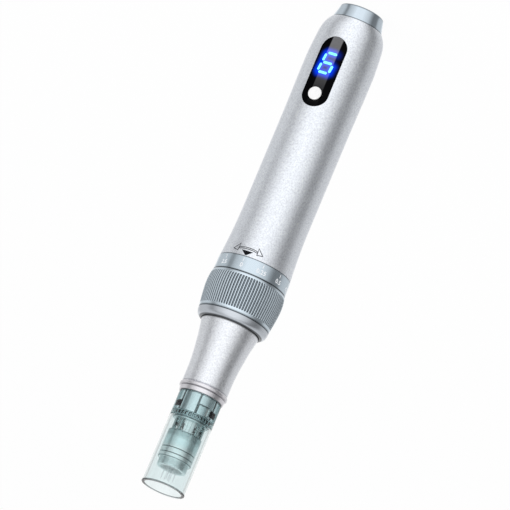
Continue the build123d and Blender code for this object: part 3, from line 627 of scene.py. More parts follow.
# body shell
bodyShell = Plan(
    start=5.1, end=96.0, tail=9.05, full=11.885, waist=11.715, mouth=12.63, shoulder=15.9, waistFrom=46.0,
    flareFrom=76.0, shoulderKnots=((0.33, 0.09), (0.65, 0.23), (0.84, 0.48)),
    bore=10.4, boreFrom=12.8, seat=7.6, seatEnd=10.0, rim=0.1, columns=192,
    patchFrom=12.9, patchTo=40.3, patchRows=42, patchHalf=16,        # the patch round the window, in columns
    pillRim=((0.07, 0.012), (0.03, 0.045), (0.005, 0.1)),            # (out from the pill, down from the face)
)
window = Plan(
    start=13.7, end=39.5, half=4.65, sink=0.05, gap=0.05, inner=9.4, flange=0.8, edge=0.1, columns=176,
    button=34.8, hole=2.45, holeRim=((0.0, 0.14), (0.02, 0.05), (0.07, 0.01)), holeFlat=0.14,
    pillRim=((-0.04, 0.02), (0.0, 0.08)),
)


def shellLine():
    # the shell's outer line: a shoulder through its knots, an easy waist, and a flare that ends at twice its
    # mean slope
    b = bodyShell
    swell = b.full - b.tail
    knots = [(b.tail + across * swell, b.start + along * b.shoulder)
             for across, along in ((0, 0), *b.shoulderKnots, (1, 1))]
    opening = (b.mouth - b.waist) / (b.end - b.flareFrom) * 2
    return np.concatenate([
        smoothLine(knots, (swell / b.shoulder * 4, 1), (0, 1), 120)[:-1],
        smoothLine([knots[-1], (b.waist, b.waistFrom)], (0, 1), (0, 1), 60),
        smoothLine([(b.waist, b.flareFrom), (b.mouth, b.end)], (0, 1), (opening, 1), 60)])


shellCurve = shellLine()


def shellRadius(height):
    # the outer line's radius at this height
    return np.interp(height, shellCurve[:, 1], shellCurve[:, 0])


def pillPoints(spots, grow):
    # the points of the pill outline, grown by this much, straight out from its spine towards these spots
    spine = np.stack([0 * spots[1], np.clip(spots[1], window.start + window.half, window.end - window.half)])
    away = spots - spine
    return spine + away / np.hypot(*away) * (window.half + grow)


def onRound(spots, radius):
    # the points of a round surface that lie at these (x, height) spots, on the window's side
    x, height = spots
    return np.stack([x, -np.sqrt(np.maximum(radius ** 2 - x ** 2, 0)), height], -1)


def onShell(spots, sink):
    # the points of the shell's surface, sunk by this much, at these spots
    return onRound(spots, shellRadius(spots[1]) - sink)


def makeBodyShell():
    # the outline carried round the axis; a patch of its grid on the window's side is cut out, outside and in
    # the bore, and filled by rings of points that go from its border to the pill, through the wall and back
    b = bodyShell
    columns, half, tall = b.columns, b.patchHalf, b.patchRows - 1
    patch = np.linspace(b.patchFrom, b.patchTo, b.patchRows)
    shoulder = np.linspace(b.start + 0.25, b.patchFrom, 16)[:-1]
    heights = np.concatenate([shoulder, patch, np.linspace(b.patchTo, b.end - 0.3, 70)[1:]])
    outer = paired(shellRadius(heights), heights)
    ends = eased([(b.mouth - 0.03, b.end - 0.35, 0), (b.mouth, b.end, b.rim), (b.bore, b.end, b.rim),
                  (b.bore, b.end - 1, 0)], 6)[1:-1]
    bore = paired(b.bore, np.linspace(b.end - 1, b.patchTo, 60)[:-1])
    tail = eased([(b.bore, b.boreFrom - 0.01, 0), (b.seat, b.seatEnd, 0), (b.seat, b.start, 0.1),
                  (b.tail, b.start, b.rim), (b.tail + 0.12, b.start + 0.2, 0)], 5)[:-1]
    outline = np.concatenate([outer, ends, bore, paired(b.bore, patch[::-1]), spread(tail, 1.2, False)])
    points = around(outline[:, :1], turnsOf(columns)[None, :], outline[:, 1:]).reshape(-1, 3)
    faces = gridFaces(len(outline), columns)
    outerRow, innerRow = len(shoulder), len(outer) + len(ends) + len(bore)
    row, column = faces[:, 0] // columns, faces[:, 0] % columns
    inRows = np.any([(row >= first) & (row < first + tall) for first in (outerRow, innerRow)], axis=0)
    faces = faces[~(inRows & ((column < half) | (column >= columns - half)))]
    across = np.arange(-half, half + 1) % columns

    def border(rows):
        # once round the patch's border, along the first of these rows, up, back along the last and down
        return np.concatenate([rows[0] * columns + across[:-1], rows[:-1] * columns + across[-1],
                               rows[-1] * columns + across[:0:-1], rows[:0:-1] * columns + across[0]])

    up = np.arange(b.patchRows)
    outerLoop, innerLoop = border(outerRow + up), border(innerRow + tall - up)
    rim, boreRim = points[outerLoop][:, ::2].T, points[innerLoop][:, ::2].T
    shares = np.sin(np.linspace(0, 1, 9) * np.pi / 2)[1:]
    rings = [onShell(rim + (pillPoints(rim, 0.12) - rim) * share, 0) for share in shares]
    rings += [onShell(pillPoints(rim, grow), sink) for grow, sink in b.pillRim]
    pill = pillPoints(rim, 0.0)
    rings += [onRound(pill + (boreRim - pill) * share, b.bore) for share in (0, 0.25, 0.6)]
    numbers = len(points) + np.arange(len(rings) * len(outerLoop)).reshape(len(rings), -1)
    loops = np.concatenate([[outerLoop], numbers, [innerLoop]])
    patchFaces = loops.ravel()[gridFaces(*loops.shape, False)]
    solid = facingOut(np.concatenate([points, *rings]), [faces, patchFaces])
    # painted shade in the gaps at the tail cap and at the scale band
    shade = paintedShadeBands(solid[0][:, 2], (b.start, 0.22, 0.5), (b.end, 0.2, 0.15))
    piece("bodyShell", solid, "housing", "bodySilver", ["body_shell"],
          shades={"joint": shade})


makeBodyShell()
print("body shell done")

# window, digit and button
digit = Plan(
    middle=23.6, height=7.15, width=4.1, lean=0.12, shift=-0.15, relief=0.02,
    bar=0.86, barInset=0.58, tipLong=0.3, tipWide=0.35,        # the last three are shares of a bar's width
    colour=(0.2, 0.84, 1.0), strength=1.2, halo=(0.0, 0.05, 0.95), haloReach=2.8, haloCore=0.3, haloPower=1.6,
    haloStrength=1.0, cornerTop=(24.6, 22.4), cornerSide=(-1.0, -2.8), cornerLess=0.75,
    # where the painted reflection's stripe starts, is full, stops being full and ends across the window, and
    # its level
    stripe=(-2.35, -2.05, 1.45, 1.75), stripeShine=0.185,
)
buttonCap = Plan(
    radius=2.3, back=8.7, top=11.965, edge=0.32, dish=0.05, dishReach=1.2, flange=3.0, flangeThick=0.5,
    columns=96,
)


def digitBars():
    # the bars of the lit digit as (x, z) ends; the tail is up and +x is left when it is read
    w, h = digit.width / 2, digit.height / 2
    ends = [((-w, h), (w, h)), ((-w, h), (-w, 0)), ((-w, 0), (w, 0)), ((-w, 0), (-w, -h)), ((w, 0), (w, -h)),
            ((-w, -h), (w, -h))]
    made = []
    for first, second in np.array(ends):
        inset = (second - first) / np.linalg.norm(second - first) * digit.bar * digit.barInset
        spots = np.array([first + inset, second - inset])
        made.append(paired(digit.shift - spots[:, 0] - spots[:, 1] * digit.lean, digit.middle - spots[:, 1]))
    return made


def windowFinish():
    # black glass over a dim blue glow that fades away from the bars, with a painted reflection: a paler
    # stripe down its left side
    finish = Finish("windowBlack")
    x, y, z = finish.parts()
    nearest = None
    for (ax, az), (bx, bz) in (bar.tolist() for bar in digitBars()):
        dx, dz = bx - ax, bz - az
        squared = dx * dx + dz * dz
        along = ((x - ax) * (dx / squared) + (z - az) * (dz / squared)).most(0.0).least(1.0)
        gapX, gapZ = x - ax - along * dx, z - az - along * dz
        gap = (gapX * gapX + gapZ * gapZ).raised(0.5)
        nearest = gap if nearest is None else nearest.least(gap)
    facing = y.ramp(-9.0, -10.0)
    corner = z.ramp(*digit.cornerTop) * x.ramp(*digit.cornerSide)      # it glows less beside the open corner
    fade = nearest.ramp(digit.haloReach, digit.haloCore).raised(digit.haloPower)
    halo = fade * facing * (1 - corner * digit.cornerLess)
    # painted reflection: a paler stripe down the window's left side, strongest at the tail end
    low, lowFull, highFull, high = digit.stripe
    shine = x.ramp(low, lowFull) * x.ramp(high, highFull) * facing * z.ramp(40.0, 13.0) * digit.stripeShine
    finish.principled(colour=finish.blend(shine, (0.0015, 0.0015, 0.002), (1.0, 1.0, 1.03)),
                      roughness=(finish.noise(3.0, 1.0) - 0.5) * 0.03 + 0.07, specular=0.02,
                      glow=finish.blend(halo, (0.0, 0.0, 0.0), digit.halo), glowStrength=digit.haloStrength)


def makeWindow():
    # rings of points that go from the button's hole over the face to the pill's edge and back by the flange
    w, bore = window, bodyShell.bore
    straight, arc = w.end - w.start - 2 * w.half, np.pi * w.half
    along = np.arange(w.columns) / w.columns * 2 * (straight + arc)
    turn = sum(np.clip((along - passed) / w.half, 0, np.pi) for passed in (straight, 2 * straight + arc))
    rise = np.clip(along, 0, straight) - np.clip(along - straight - arc, 0, straight)
    spine = np.stack([0 * rise, w.start + w.half + rise])
    away = np.stack([np.cos(turn), np.sin(turn)])

    def pill(grow):
        return spine + away * (w.half + grow)

    middle = np.array([[0], [w.button]])
    out = (pill(-w.gap) - middle) / np.hypot(*(pill(-w.gap) - middle))

    def hole(grow):
        return middle + out * (w.hole + grow)

    face = [(hole(grow), sink) for grow, sink in w.holeRim]
    inside, outside = hole(w.holeFlat), pill(-w.gap - w.edge)
    face += [(inside + (outside - inside) * share, 0) for share in np.linspace(0, 1, 20)]
    face += [(pill(grow - w.gap), sink) for grow, sink in w.pillRim]
    back = [(pill(-w.gap), bore), (pill(w.flange), bore)]
    back += [(pill(w.flange) + (hole(0) - pill(w.flange)) * share, w.inner) for share in (0, 0.35, 0.7)]
    rings = [onRound(hole(0), w.inner)] + [onShell(spots, w.sink + sink) for spots, sink in face]
    rings += [onRound(spots, radius) for spots, radius in back]
    windowFinish()
    solid = facingOut(np.concatenate(rings), [gridFaces(len(rings), w.columns)])
    piece("displayWindow", solid, "housing", "windowBlack", ["display_window"])


def makeDigit():
    # each bar is a strip over (distance along, share across) whose ends are drawn in, laid on the window
    finish = Finish("digitGlow")
    glow = finish.blend(finish.noise(0.5, 1.0), dimmed(digit.colour, 0.92), digit.colour)
    finish.principled(colour=(0.1, 0.4, 0.6), roughness=0.3, glow=glow, glowStrength=digit.strength)
    half, tip = digit.bar / 2, digit.bar * digit.tipLong
    bars = []
    for first, second in digitBars():
        length = np.linalg.norm(second - first)
        run = (second - first) / length
        side = np.array([-run[1], run[0]])
        along = np.concatenate([[0], np.linspace(tip, length - tip, 8), [length]])
        wide = np.where((along == 0) | (along == length), half * digit.tipWide, half)
        across = wide[:, None] * np.linspace(-1, 1, 5)
        spots = first + run * along[:, None, None] + side * across[:, :, None]
        x, z = spots[..., 0], spots[..., 1]
        angle = front + np.degrees(np.arcsin(x / shellRadius(z)))
        bars.append(thickStrip(angle, z, lambda height: shellRadius(height) - window.sink, -digit.relief,
                               digit.relief))
    piece("litDigit", together(bars), "housing", "digitGlow")


def makeButton():
    # an outline of flange, side, rounded edge and dished face, carried round the button's own axis
    b = buttonCap
    rimRadius, rimHeight, collar = b.radius - b.edge, b.top - b.edge, b.back + b.flangeThick
    corners = np.array([(0, b.back), (b.flange, b.back), (b.flange, collar), (b.radius, collar),
                        (b.radius, rimHeight)])
    turn = np.radians(np.linspace(0, 90, 9))
    edge = paired(rimRadius + b.edge * np.cos(turn), rimHeight + b.edge * np.sin(turn))
    inward = np.linspace(rimRadius, 0, 12)[1:]
    face = paired(inward, b.top - b.dish * easy(rimRadius - inward, 0, b.dishReach))
    outline = np.concatenate([spread(corners, 0.4, False)[:-1], edge, face])
    rings = around(outline[1:-1, :1], turnsOf(b.columns)[None, :], outline[1:-1, 1:])
    points, faces = capped(rings, [[0, 0, outline[0, 1]], [0, 0, outline[-1, 1]]])
    x, y, out = points.T
    solid = facingOut(np.stack([x, -out, window.button + y], -1), faces)
    piece("buttonCap", solid, "power_button", "buttonWhite", ["power_button"])


makeWindow()
makeDigit()
makeButton()
print("window done")

# printed marks on the shell
marks = Plan(
    low=-0.02, high=0.012, line=0.25, triangleFrom=94.1, triangleTo=95.92, triangleHalf=2.1,
    arrowTip=25.8, arrowPlace=93.0, barbBack=9.6, barbOut=1.25, barbLean=0.285, barbSlant=0.1,
    shaftHeight=93.2, shaftDrop=0.95, shaftHalf=0.25,
)


def ribbon(path, width, closed=False):
    # a strip of this width along (arc length, height) points: each side is moved by the mean of the normals
    runs = np.roll(path, -1, axis=0) - path if closed else np.diff(path, axis=0)
    runs /= np.linalg.norm(runs, axis=1)[:, None]
    normals = np.stack([-runs[:, 1], runs[:, 0]], -1)
    before = np.roll(normals, 1, axis=0) if closed else np.concatenate([normals[:1], normals])
    after = normals if closed else np.concatenate([normals, normals[-1:]])
    mean = before + after
    mean /= np.maximum(np.einsum("ij,ij->i", mean, before)[:, None], 0.5)
    return path[:, None] + mean[:, None] * (np.array([-0.5, 0.5]) * width)[None, :, None]


def printed(strip, closed=False):
    # lays a strip of (arc length, height) on the shell, its middle on the window's line
    arc, height = strip[..., 0], strip[..., 1]
    angle = front + np.degrees(arc / shellRadius(height))
    return thickStrip(angle, height, shellRadius, marks.low, marks.high, closed)


def makeMarks():
    m = marks
    share, across = np.linspace(1, 0.1, 9)[:, None], np.linspace(-1, 1, 7)[None, :]
    height = m.triangleFrom + (m.triangleTo - m.triangleFrom) * (1 - share)
    piece("pointerMark", printed(paired(m.triangleHalf * share * across, height)), "housing", "printBlack")
    reach, back = np.radians((m.arrowTip, m.barbBack)) * shellRadius(m.arrowPlace)
    inner = reach - back

    def shaft(arc, out):
        # the shaft's line drops with the square of the distance from its middle
        return m.shaftHeight + m.shaftDrop * (arc / reach) ** 2 + out

    strips = []
    for side in (-1, 1):
        tip, middle = (side * reach, shaft(reach, 0)), shaft(inner, 0)
        low = (side * (inner - m.barbSlant), middle - m.barbOut - m.barbLean)
        high = (side * (inner + m.barbSlant), middle + m.barbOut - m.barbLean)
        notch = paired(side * inner, (middle - m.shaftHalf, middle + m.shaftHalf))
        outline = np.concatenate([np.linspace(tip, low, 7), notch, np.linspace(high, tip, 7)[:-1]])
        strips.append(printed(ribbon(outline, m.line, True), True))
    arc = np.linspace(-inner, inner, 25)
    for out in (-m.shaftHalf, m.shaftHalf):
        strips.append(printed(ribbon(paired(arc, shaft(arc, out)), m.line)))
    piece("turnArrow", together(strips), "housing", "printGrey")


makeMarks()
print("printed marks done")

# depth ring with its band and lip
scaleBand = Plan(
    seat=11.6, start=96.15, end=101.5, back=12.7, front=12.85, edge=0.2, edgeEase=0.08, rim=0.1,
    frontRim=0.05, run=0.2, columns=256, marks=11, step=0.25, ink=0.012,
    tickFrom=96.7, tickLength=1.25, tickWidth=0.24, tickSink=0.05,
    numberSize=2.1, numberFrom=98.35, numberThick=0.02, numberGrow=0.03,
)
depthRing = Plan(
    start=101.5, end=115.1, back=12.95, front=12.5, full=13.42, bore=10.47, columns=1008,
    barrel=((0.16, 0.90), (0.4, 1.0), (0.64, 0.68)), startRim=0.08, endRim=0.06, endStep=0.12,
    ribs=84, ribDepth=0.45, ribFrom=102.4, ribTo=114.0, runOut=0.5, crest=0.11, root=0.468,
    seat=11.6, seatFrom=96.15, clipRoom=11.45, clipFrom=111.65,
    pinHeight=105.6, pinAngle=90.0, travel=2.5, turn=327.2727, slot=1.25, slotDepth=1.03, slotRunOut=8.0,
    flankShade=0.84, rootShade=0.42,
)
ringLip = Plan(
    start=115.1, end=118.0, back=12.5, front=11.4, round=0.6, middle=0.66, mouth=10.3, mouthEdge=0.15,
    edge=0.2, run=0.15, columns=224,
)


def bandRadius(height):
    # the band's slight cone
    b = scaleBand
    return np.interp(height, (b.start, b.end - b.edge), (b.back, b.front))


def makeBand():
    # the band's outline carried round, and its ticks as thin slabs over (angle, height) on it
    b = scaleBand
    radius, height = spread(eased([
        (b.seat, b.start, 0), (b.back, b.start, b.rim), (b.front, b.end - b.edge, b.edgeEase),
        (b.front - b.edge, b.end, b.frontRim), (b.seat, b.end, 0)], 6), b.run).T
    # painted shade at the band's joints with the shell and the ring
    shade = paintedShadeBands(height, (b.start, 0.25, 0.15), (b.end, 0.42, 0.8))
    turnedPiece("scaleBand", b, radius, height, "depth_ring", "bandSteel", "scale_band", "polished_silver",
                joint=shade)
    wide = np.degrees(b.tickWidth / 2 / b.front)
    tall = b.tickFrom + b.tickLength * np.linspace(0, 1, 5)
    angle, height = np.meshgrid(wide * np.linspace(-1, 1, 3), tall)
    ticks = [thickStrip(front - k * 360 / b.marks + angle, height, bandRadius, -b.tickSink, b.ink)
             for k in range(b.marks)]
    piece("scaleTicks", together(ticks), "depth_ring", "printWhite")


def makeNumbers():
    # each number is set as text, made a mesh, and laid on the band with the tail side up
    b = scaleBand
    solids = []
    for k in range(b.marks):
        curve = bpy.data.curves.new("number", "FONT")
        curve.body = f"{k * b.step:g}"
        curve.size, curve.extrude, curve.offset = b.numberSize, b.numberThick, b.numberGrow
        curve.align_x, curve.align_y, curve.resolution_u = "CENTER", "TOP", 6
        holder = bpy.data.objects.new("number", curve)
        bpy.context.scene.collection.objects.link(holder)
        mesh = bpy.data.meshes.new_from_object(holder)
        points = np.empty(len(mesh.vertices) * 3, np.float32)
        mesh.vertices.foreach_get("co", points)
        along, up, out = points.reshape(-1, 3).astype(float).T
        groups = ([p.vertices[:] for p in mesh.polygons if p.loop_total == size] for size in (3, 4))
        height = b.numberFrom - up
        angle = front - k * 360 / b.marks - np.degrees(along / b.front)
        radius = bandRadius(height) + b.ink * np.where(out > 0, 1, -3)
        solids.append((around(radius, angle, height), [np.array(group) for group in groups if group]))
        bpy.data.objects.remove(holder)
        bpy.data.curves.remove(curve)
    piece("scaleNumbers", together(solids), "depth_ring", "printWhite", sharp=20.0)


def makeRing():
    # radius = barrel line - rib depth x share of the way down the rib's side x an easy run-out at the ends
    d = depthRing
    swell = d.full - d.front
    knots = [(d.back, d.start)]
    knots += [(d.front + across * swell, d.start + along * (d.end - d.start)) for along, across in d.barrel]
    line = smoothLine(knots + [(d.front, d.end)], count=200)
    ribIn, ribOut = d.ribFrom + d.runOut, d.ribTo - d.runOut
    heights = np.concatenate([
        [d.start + 0.02], np.linspace(d.start + 0.12, d.ribFrom - 0.05, 3),
        np.linspace(d.ribFrom, ribIn, 7)[:-1], np.linspace(ribIn, ribOut, 16),
        np.linspace(ribOut, d.ribTo, 7)[1:],
        np.linspace(d.ribTo + 0.05, d.end - 0.1, 3), [d.end - 0.01]])
    outside = np.interp(heights, line[:, 1], line[:, 0])
    outside[[0, -1]] -= d.startRim, d.endRim
    angle = turnsOf(d.columns)
    phase = np.abs(((angle - front) * d.ribs / 360 + 0.5) % 1 - 0.5)
    ends = easy(heights, d.ribFrom, ribIn) * within(heights, ribOut, d.ribTo)
    depth = easy(phase, d.crest, d.root)[None, :] * ends[:, None]
    # the bore, with the slot that lifts the pin as the ring turns
    turnBack = (d.pinAngle - angle) % 360
    turnBack = np.where(turnBack > 360 - d.slotRunOut - 1, turnBack - 360, turnBack)
    slotHeight = d.pinHeight + d.travel * turnBack / d.turn
    boreHeights = np.concatenate([[d.end - 0.05, d.clipFrom + 0.01, d.clipFrom],
                                  np.linspace(d.clipFrom - 0.6, d.pinHeight - 3.0, 34),
                                  [d.seatFrom + 0.5, d.seatFrom]])
    away = np.abs(boreHeights[:, None] - slotHeight[None, :])
    reached = ((turnBack > -d.slotRunOut) & (turnBack < d.turn + d.slotRunOut))[None, :]
    inside = np.where(boreHeights > d.clipFrom + 0.005, d.clipRoom, d.bore)[:, None]
    inside = inside + d.slotDepth * (away < d.slot) * reached
    flat = np.ones((1, d.columns))
    radius = np.concatenate([outside[:, None] - d.ribDepth * depth, flat * (d.front - d.endStep), inside,
                             flat * d.seat, flat * d.seat])
    height = np.concatenate([heights, [d.end], boreHeights, [d.seatFrom, d.start]])
    # painted shade: the rib flanks darkened, their roots less so, and dark lines at the ring's two joints
    flanks = d.flankShade * easy(depth, 0.02, 0.35) - d.rootShade * easy(depth, 0.7, 0.95)
    shade = np.maximum(flanks, paintedShadeBands(heights, (d.start, 0.2, 0.8), (d.end, 0.3, 0.7))[:, None])
    turnedPiece("depthRing", d, radius, height, "depth_ring", "knurlSteel", "depth_ring", "knurled_silver",
                60.0, joint=shade)


def makeLip():
    # a rounded face through three knots and straight runs back through the mouth, carried round
    lip = ringLip
    edge, high = lip.back - lip.edge, lip.start + lip.edge
    middle = (edge + lip.front) / 2 + lip.edge
    face = smoothLine([(lip.back, high), (middle, lip.start + lip.middle * (lip.end - lip.start)),
                       (lip.front - lip.round, lip.end)], count=24)
    rest = eased([(lip.front - lip.round, lip.end, 0), (lip.mouth, lip.end, lip.mouthEdge),
                  (lip.mouth, lip.start, 0), (edge, lip.start, 0), (lip.back, high, 0)])
    radius, height = spread(np.concatenate([face[:-1], rest[:-1]]), lip.run).T
    # painted shade at the joint with the ring and in the gap at the mouth
    shade = paintedShadeBands(height, (lip.start, 0.36, 0.6), (lip.end, 0.4, 0.8))
    turnedPiece("ringLip", lip, radius, height, "depth_ring", "lipSilver", "ring_lip", "blasted_silver",
                joint=shade)


makeBand()
makeNumbers()
makeRing()
makeLip()
print("depth ring done")

# nose
noseCone = Plan(
    spigot=9.5, start=111.4, seatFrom=114.6, root=10.15, coneFrom=118.5, waist=8.05, waistFrom=135.3,
    seat=140.8, neck=7.2, neckTop=142.5, groove=0.2, cavity=8.0, cavityTo=122.6, throat=6.7,
    webFrom=130.6, webTo=136.6, bush=3.0, socket=6.5, run=0.3, columns=192,
    curve=((0.11, 0.83), (0.26, 0.60), (0.42, 0.42), (0.58, 0.26), (0.74, 0.12)),
)
noseCollar = Plan(
    start=140.8, end=144.1, bead=8.45, beadWidth=1.4, beadRound=0.32, front=7.75, groove=0.2, run=0.15,
    columns=192,
)


def makeNose():
    # the spigot and the hollow, a hollow-flanked cone through its knots, and the neck, carried round
    n = noseCone
    loss, length = n.root - n.waist, n.waistFrom - n.coneFrom
    knots = [(n.waist + left * loss, n.coneFrom + along * length)
             for along, left in ((0, 1), *n.curve, (1, 0))]
    first = eased([
        (n.bush, n.webFrom, 0), (n.throat, n.webFrom, 0), (n.cavity, n.cavityTo, 0), (n.cavity, n.start, 0.1),
        (n.spigot, n.start, 0.15), (n.spigot, n.seatFrom, 0), (n.root, n.seatFrom, 0),
        (n.root, n.coneFrom - 0.3, 0)], 4)
    second = eased([
        (n.waist, n.waistFrom + 0.3, 0), (n.waist, n.seat - n.groove, 0.08), (n.waist - n.groove, n.seat, 0),
        (n.neck, n.seat, 0), (n.neck, n.neckTop, 0.1), (n.socket, n.neckTop, 0.05), (n.socket, n.webTo, 0),
        (n.bush, n.webTo, 0)], 4)
    radius, height = spread(np.concatenate([first, smoothLine(knots, count=60), second]), n.run).T
    # painted shade at the collar's seat and in the gap under the ring's lip
    shade = paintedShadeBands(height, (n.seat, 0.4, 0.2), (n.coneFrom - 0.8, 1.0, 0.8))
    turnedPiece("noseCone", n, radius, height, "housing", "noseSilver", "nose_cone", "blasted_silver",
                joint=shade)


def makeCollar():
    # an outline with a rounded bead between two grooves and a taper to the front, carried round
    c, n = noseCollar, noseCone
    beadStart, low = c.start + c.groove, n.waist - n.groove
    beadEnd = beadStart + c.beadWidth
    radius, height = spread(eased([
        (n.neck, c.start, 0), (low, c.start, 0.05), (c.bead, beadStart + c.groove, c.beadRound),
        (c.bead, beadEnd - c.groove, c.beadRound), (low, beadEnd, 0.06), (n.waist, beadEnd + c.groove, 0.2),
        (c.front, c.end, 0.18), (n.socket, c.end, 0.15), (n.socket, n.neckTop, 0),
        (n.neck, n.neckTop, 0)], 7), c.run).T
    # painted shade in the groove behind the bead and at the front end
    shade = paintedShadeBands(height, (beadEnd, 0.4, 0.35), (c.end, 0.25, 0.3))
    turnedPiece("noseCollar", c, radius, height, "housing", "collarSilver", "nose_collar", "blasted_silver",
                joint=shade)


makeNose()
makeCollar()
print("nose done")

# cartridge
tipTube = Plan(
    start=144.3, end=177.7, radius=7.5, bore=6.6, rim=0.15, rimLength=0.8, edge=0.12, run=0.3, columns=256,
)
neck = Plan(
    foot=136.9, spigot=6.4, start=144.3, end=151.0, radius=6.65, bore=5.2, floor=2.0, stem=2.2, columns=720,
    slots=7, slotTurn=-112.0, slotWidth=0.5, slotDepth=0.35, slotShade=0.85,
    latches=3, latchTurn=71.5, latchWidth=3.1, latchTall=2.0, latchInset=1.0, latchDepth=0.82,
    pocketTurn=36.0, pocketWidth=4.0, pocketTall=3.3, pocketDepth=0.3, pocketShade=0.8,
    ringPlace=139.3, ringWire=0.35, ribTurn=27, ribShade=0.5, glintTurn=22, glintHalf=3, glintDrop=1.9,
)
sealRing = Plan(start=151.0, end=153.1, radius=6.65, bore=5.2, notches=32, width=0.75, depth=0.5, columns=720)
core = Plan(
    start=158.0, end=167.8, noseEnd=170.6, radius=5.9, nose=5.15, bore=3.6, stem=1.8, floor=1.8, columns=192,
    lines=(6.3, 8.2), lineDepth=0.2, lineWidth=0.3, foot=153.1, ring=0.6, ringColumns=144,
    posts=4, postTurn=20.6, postWidth=2.8, postDepth=1.2, postSlot=1.5,
    sleeve=4.65, sleeveWall=0.15, sleeveRows=(1.1, 1.9), sleeveColumns=240, sleeveLine=10,
)


def makeTube():
    # a plain wall with a bead at its rim, carried round; the painted shade follows the distance from the
    # rim's edges
    t = tipTube
    bead = t.radius + t.rim
    radius, height = spread(eased([
        (t.bore, t.start, 0.1), (t.radius, t.start, 0.15), (t.radius, t.end - t.rimLength, 0.2),
        (bead, t.end - t.rimLength / 2, 0.15), (bead, t.end - t.rim, 0.1), (t.radius, t.end, t.edge),
        (t.bore, t.end, t.edge)], 6), t.run).T
    rim = within(np.hypot(radius - bead, (height - t.end + 0.2) * 0.7), 0.08, 0.26)
    edge = 0.95 * np.maximum(rim, within(np.hypot(radius - t.bore, height - t.end), 0.05, 0.2))
    turnedPiece("tipTube", t, radius, height, "cartridge", "tubeClear", "cartridge_tube", "clear_teal",
                edge=edge)


def makeNeck():
    # radius = neck radius - the greatest of the depths of slots, pockets and latch seats at that point
    n = neck
    heights = np.concatenate([[n.start], np.linspace(n.start + 0.1, n.end - 0.02, 66), [n.end]])
    angle, tall = turnsOf(n.columns)[None, :], heights[:, None]
    arc = np.pi / 180 * n.radius
    depth, edge, pale = np.zeros((3, len(heights), n.columns))
    for k in range(n.slots):
        across = near(angle, n.slotTurn + k * 360 / n.slots) * arc
        depth = np.maximum(depth, n.slotDepth * within(across - n.slotWidth / 2, -0.06, 0.06))
        # painted shade along both sides of each slot
        edge = np.maximum(edge, n.slotShade * within(across, 0.2, 0.42))
    for k in range(n.latches):
        turn = n.latchTurn + k * 360 / n.latches
        across = near(angle, turn + n.pocketTurn) * arc
        over = np.maximum(across - n.pocketWidth / 2, n.end - n.pocketTall - tall)
        depth = np.maximum(depth, n.pocketDepth * within(over, -0.06, 0.06))
        # painted shade round each pocket's outline
        edge = np.maximum(edge, n.pocketShade * within(np.abs(over), 0.12, 0.3))
        aside = near(angle, turn) * arc - n.latchWidth / 2
        over = np.maximum(aside, np.abs(tall - n.end + n.latchInset + n.latchTall / 2) - n.latchTall / 2)
        depth = np.maximum(depth, n.latchDepth * within(over, -0.02, 0.08))
        # painted shade: a dark band beside each latch, and dark lines round its seat
        paintedBand = n.ribShade * within(near(angle, turn - n.ribTurn), 5, 10)
        edge = np.maximum(edge, np.maximum(within(np.abs(over), 0.06, 0.14), paintedBand))
        # painted highlight: a glint beside each latch
        aside = np.maximum(near(angle, turn + n.glintTurn), 3 * np.abs(tall - n.end + n.glintDrop))
        pale = np.maximum(pale, within(aside - n.glintHalf, 0, 2.5))
    low, high, deep = n.ringPlace - n.ringWire, n.ringPlace + n.ringWire, n.spigot - 2 * n.ringWire
    rest = spread(eased([
        (n.bore, n.end, 0), (n.bore, n.start + n.floor, 0.1), (n.stem, n.start + n.floor, 0),
        (n.stem, n.foot, 0.1), (n.spigot, n.foot, 0.2), (n.spigot, low, 0), (deep, low, 0), (deep, high, 0),
        (n.spigot, high, 0), (n.spigot, n.start - 0.01, 0)], 4), 0.8, False)
    radius = np.concatenate([n.radius - 0.01 - depth, rest[:, :1] + 0 * angle])
    height = np.concatenate([heights, rest[:, 1]])
    turnedPiece("cartridgeNeck", n, radius, height, "cartridge", "neckTeal", "cartridge_base", "smoke_teal",
                50.0, edge=edge * (1 - pale), pale=pale)


def makeSeal():
    # radius = ring radius - notch depth inside each notch, whose middle is half the ring's height
    s = sealRing
    tall, angle = s.end - s.start, turnsOf(s.columns)
    heights = np.linspace(s.start + 0.02, s.end - 0.02, 22)
    away = np.abs(heights - (s.start + s.end) / 2)
    across = (((angle - front) * s.notches / 360 + 0.5) % 1 - 0.5) * 2 * np.pi * s.radius / s.notches
    over = np.maximum(np.abs(across)[None, :] - s.width / 2, away[:, None] - tall / 4)
    # painted shade round the notches and along the ring's two rims
    rims = within(tall - 2 * away, 0.1, 0.5)
    edge = np.maximum(0.95 * within(np.abs(over), 0.03, 0.15), 0.75 * rims[:, None])
    outer = s.radius - 0.01 - s.depth * within(over, -0.08, 0.08)
    radius = np.concatenate([outer, np.full((2, s.columns), s.bore)])
    height = np.concatenate([heights, [s.end - 0.01, s.start + 0.01]])
    turnedPiece("notchedSeal", s, radius, height, "cartridge", "sealTeal", "cartridge_seal", "seal_teal",
                50.0, edge=edge)


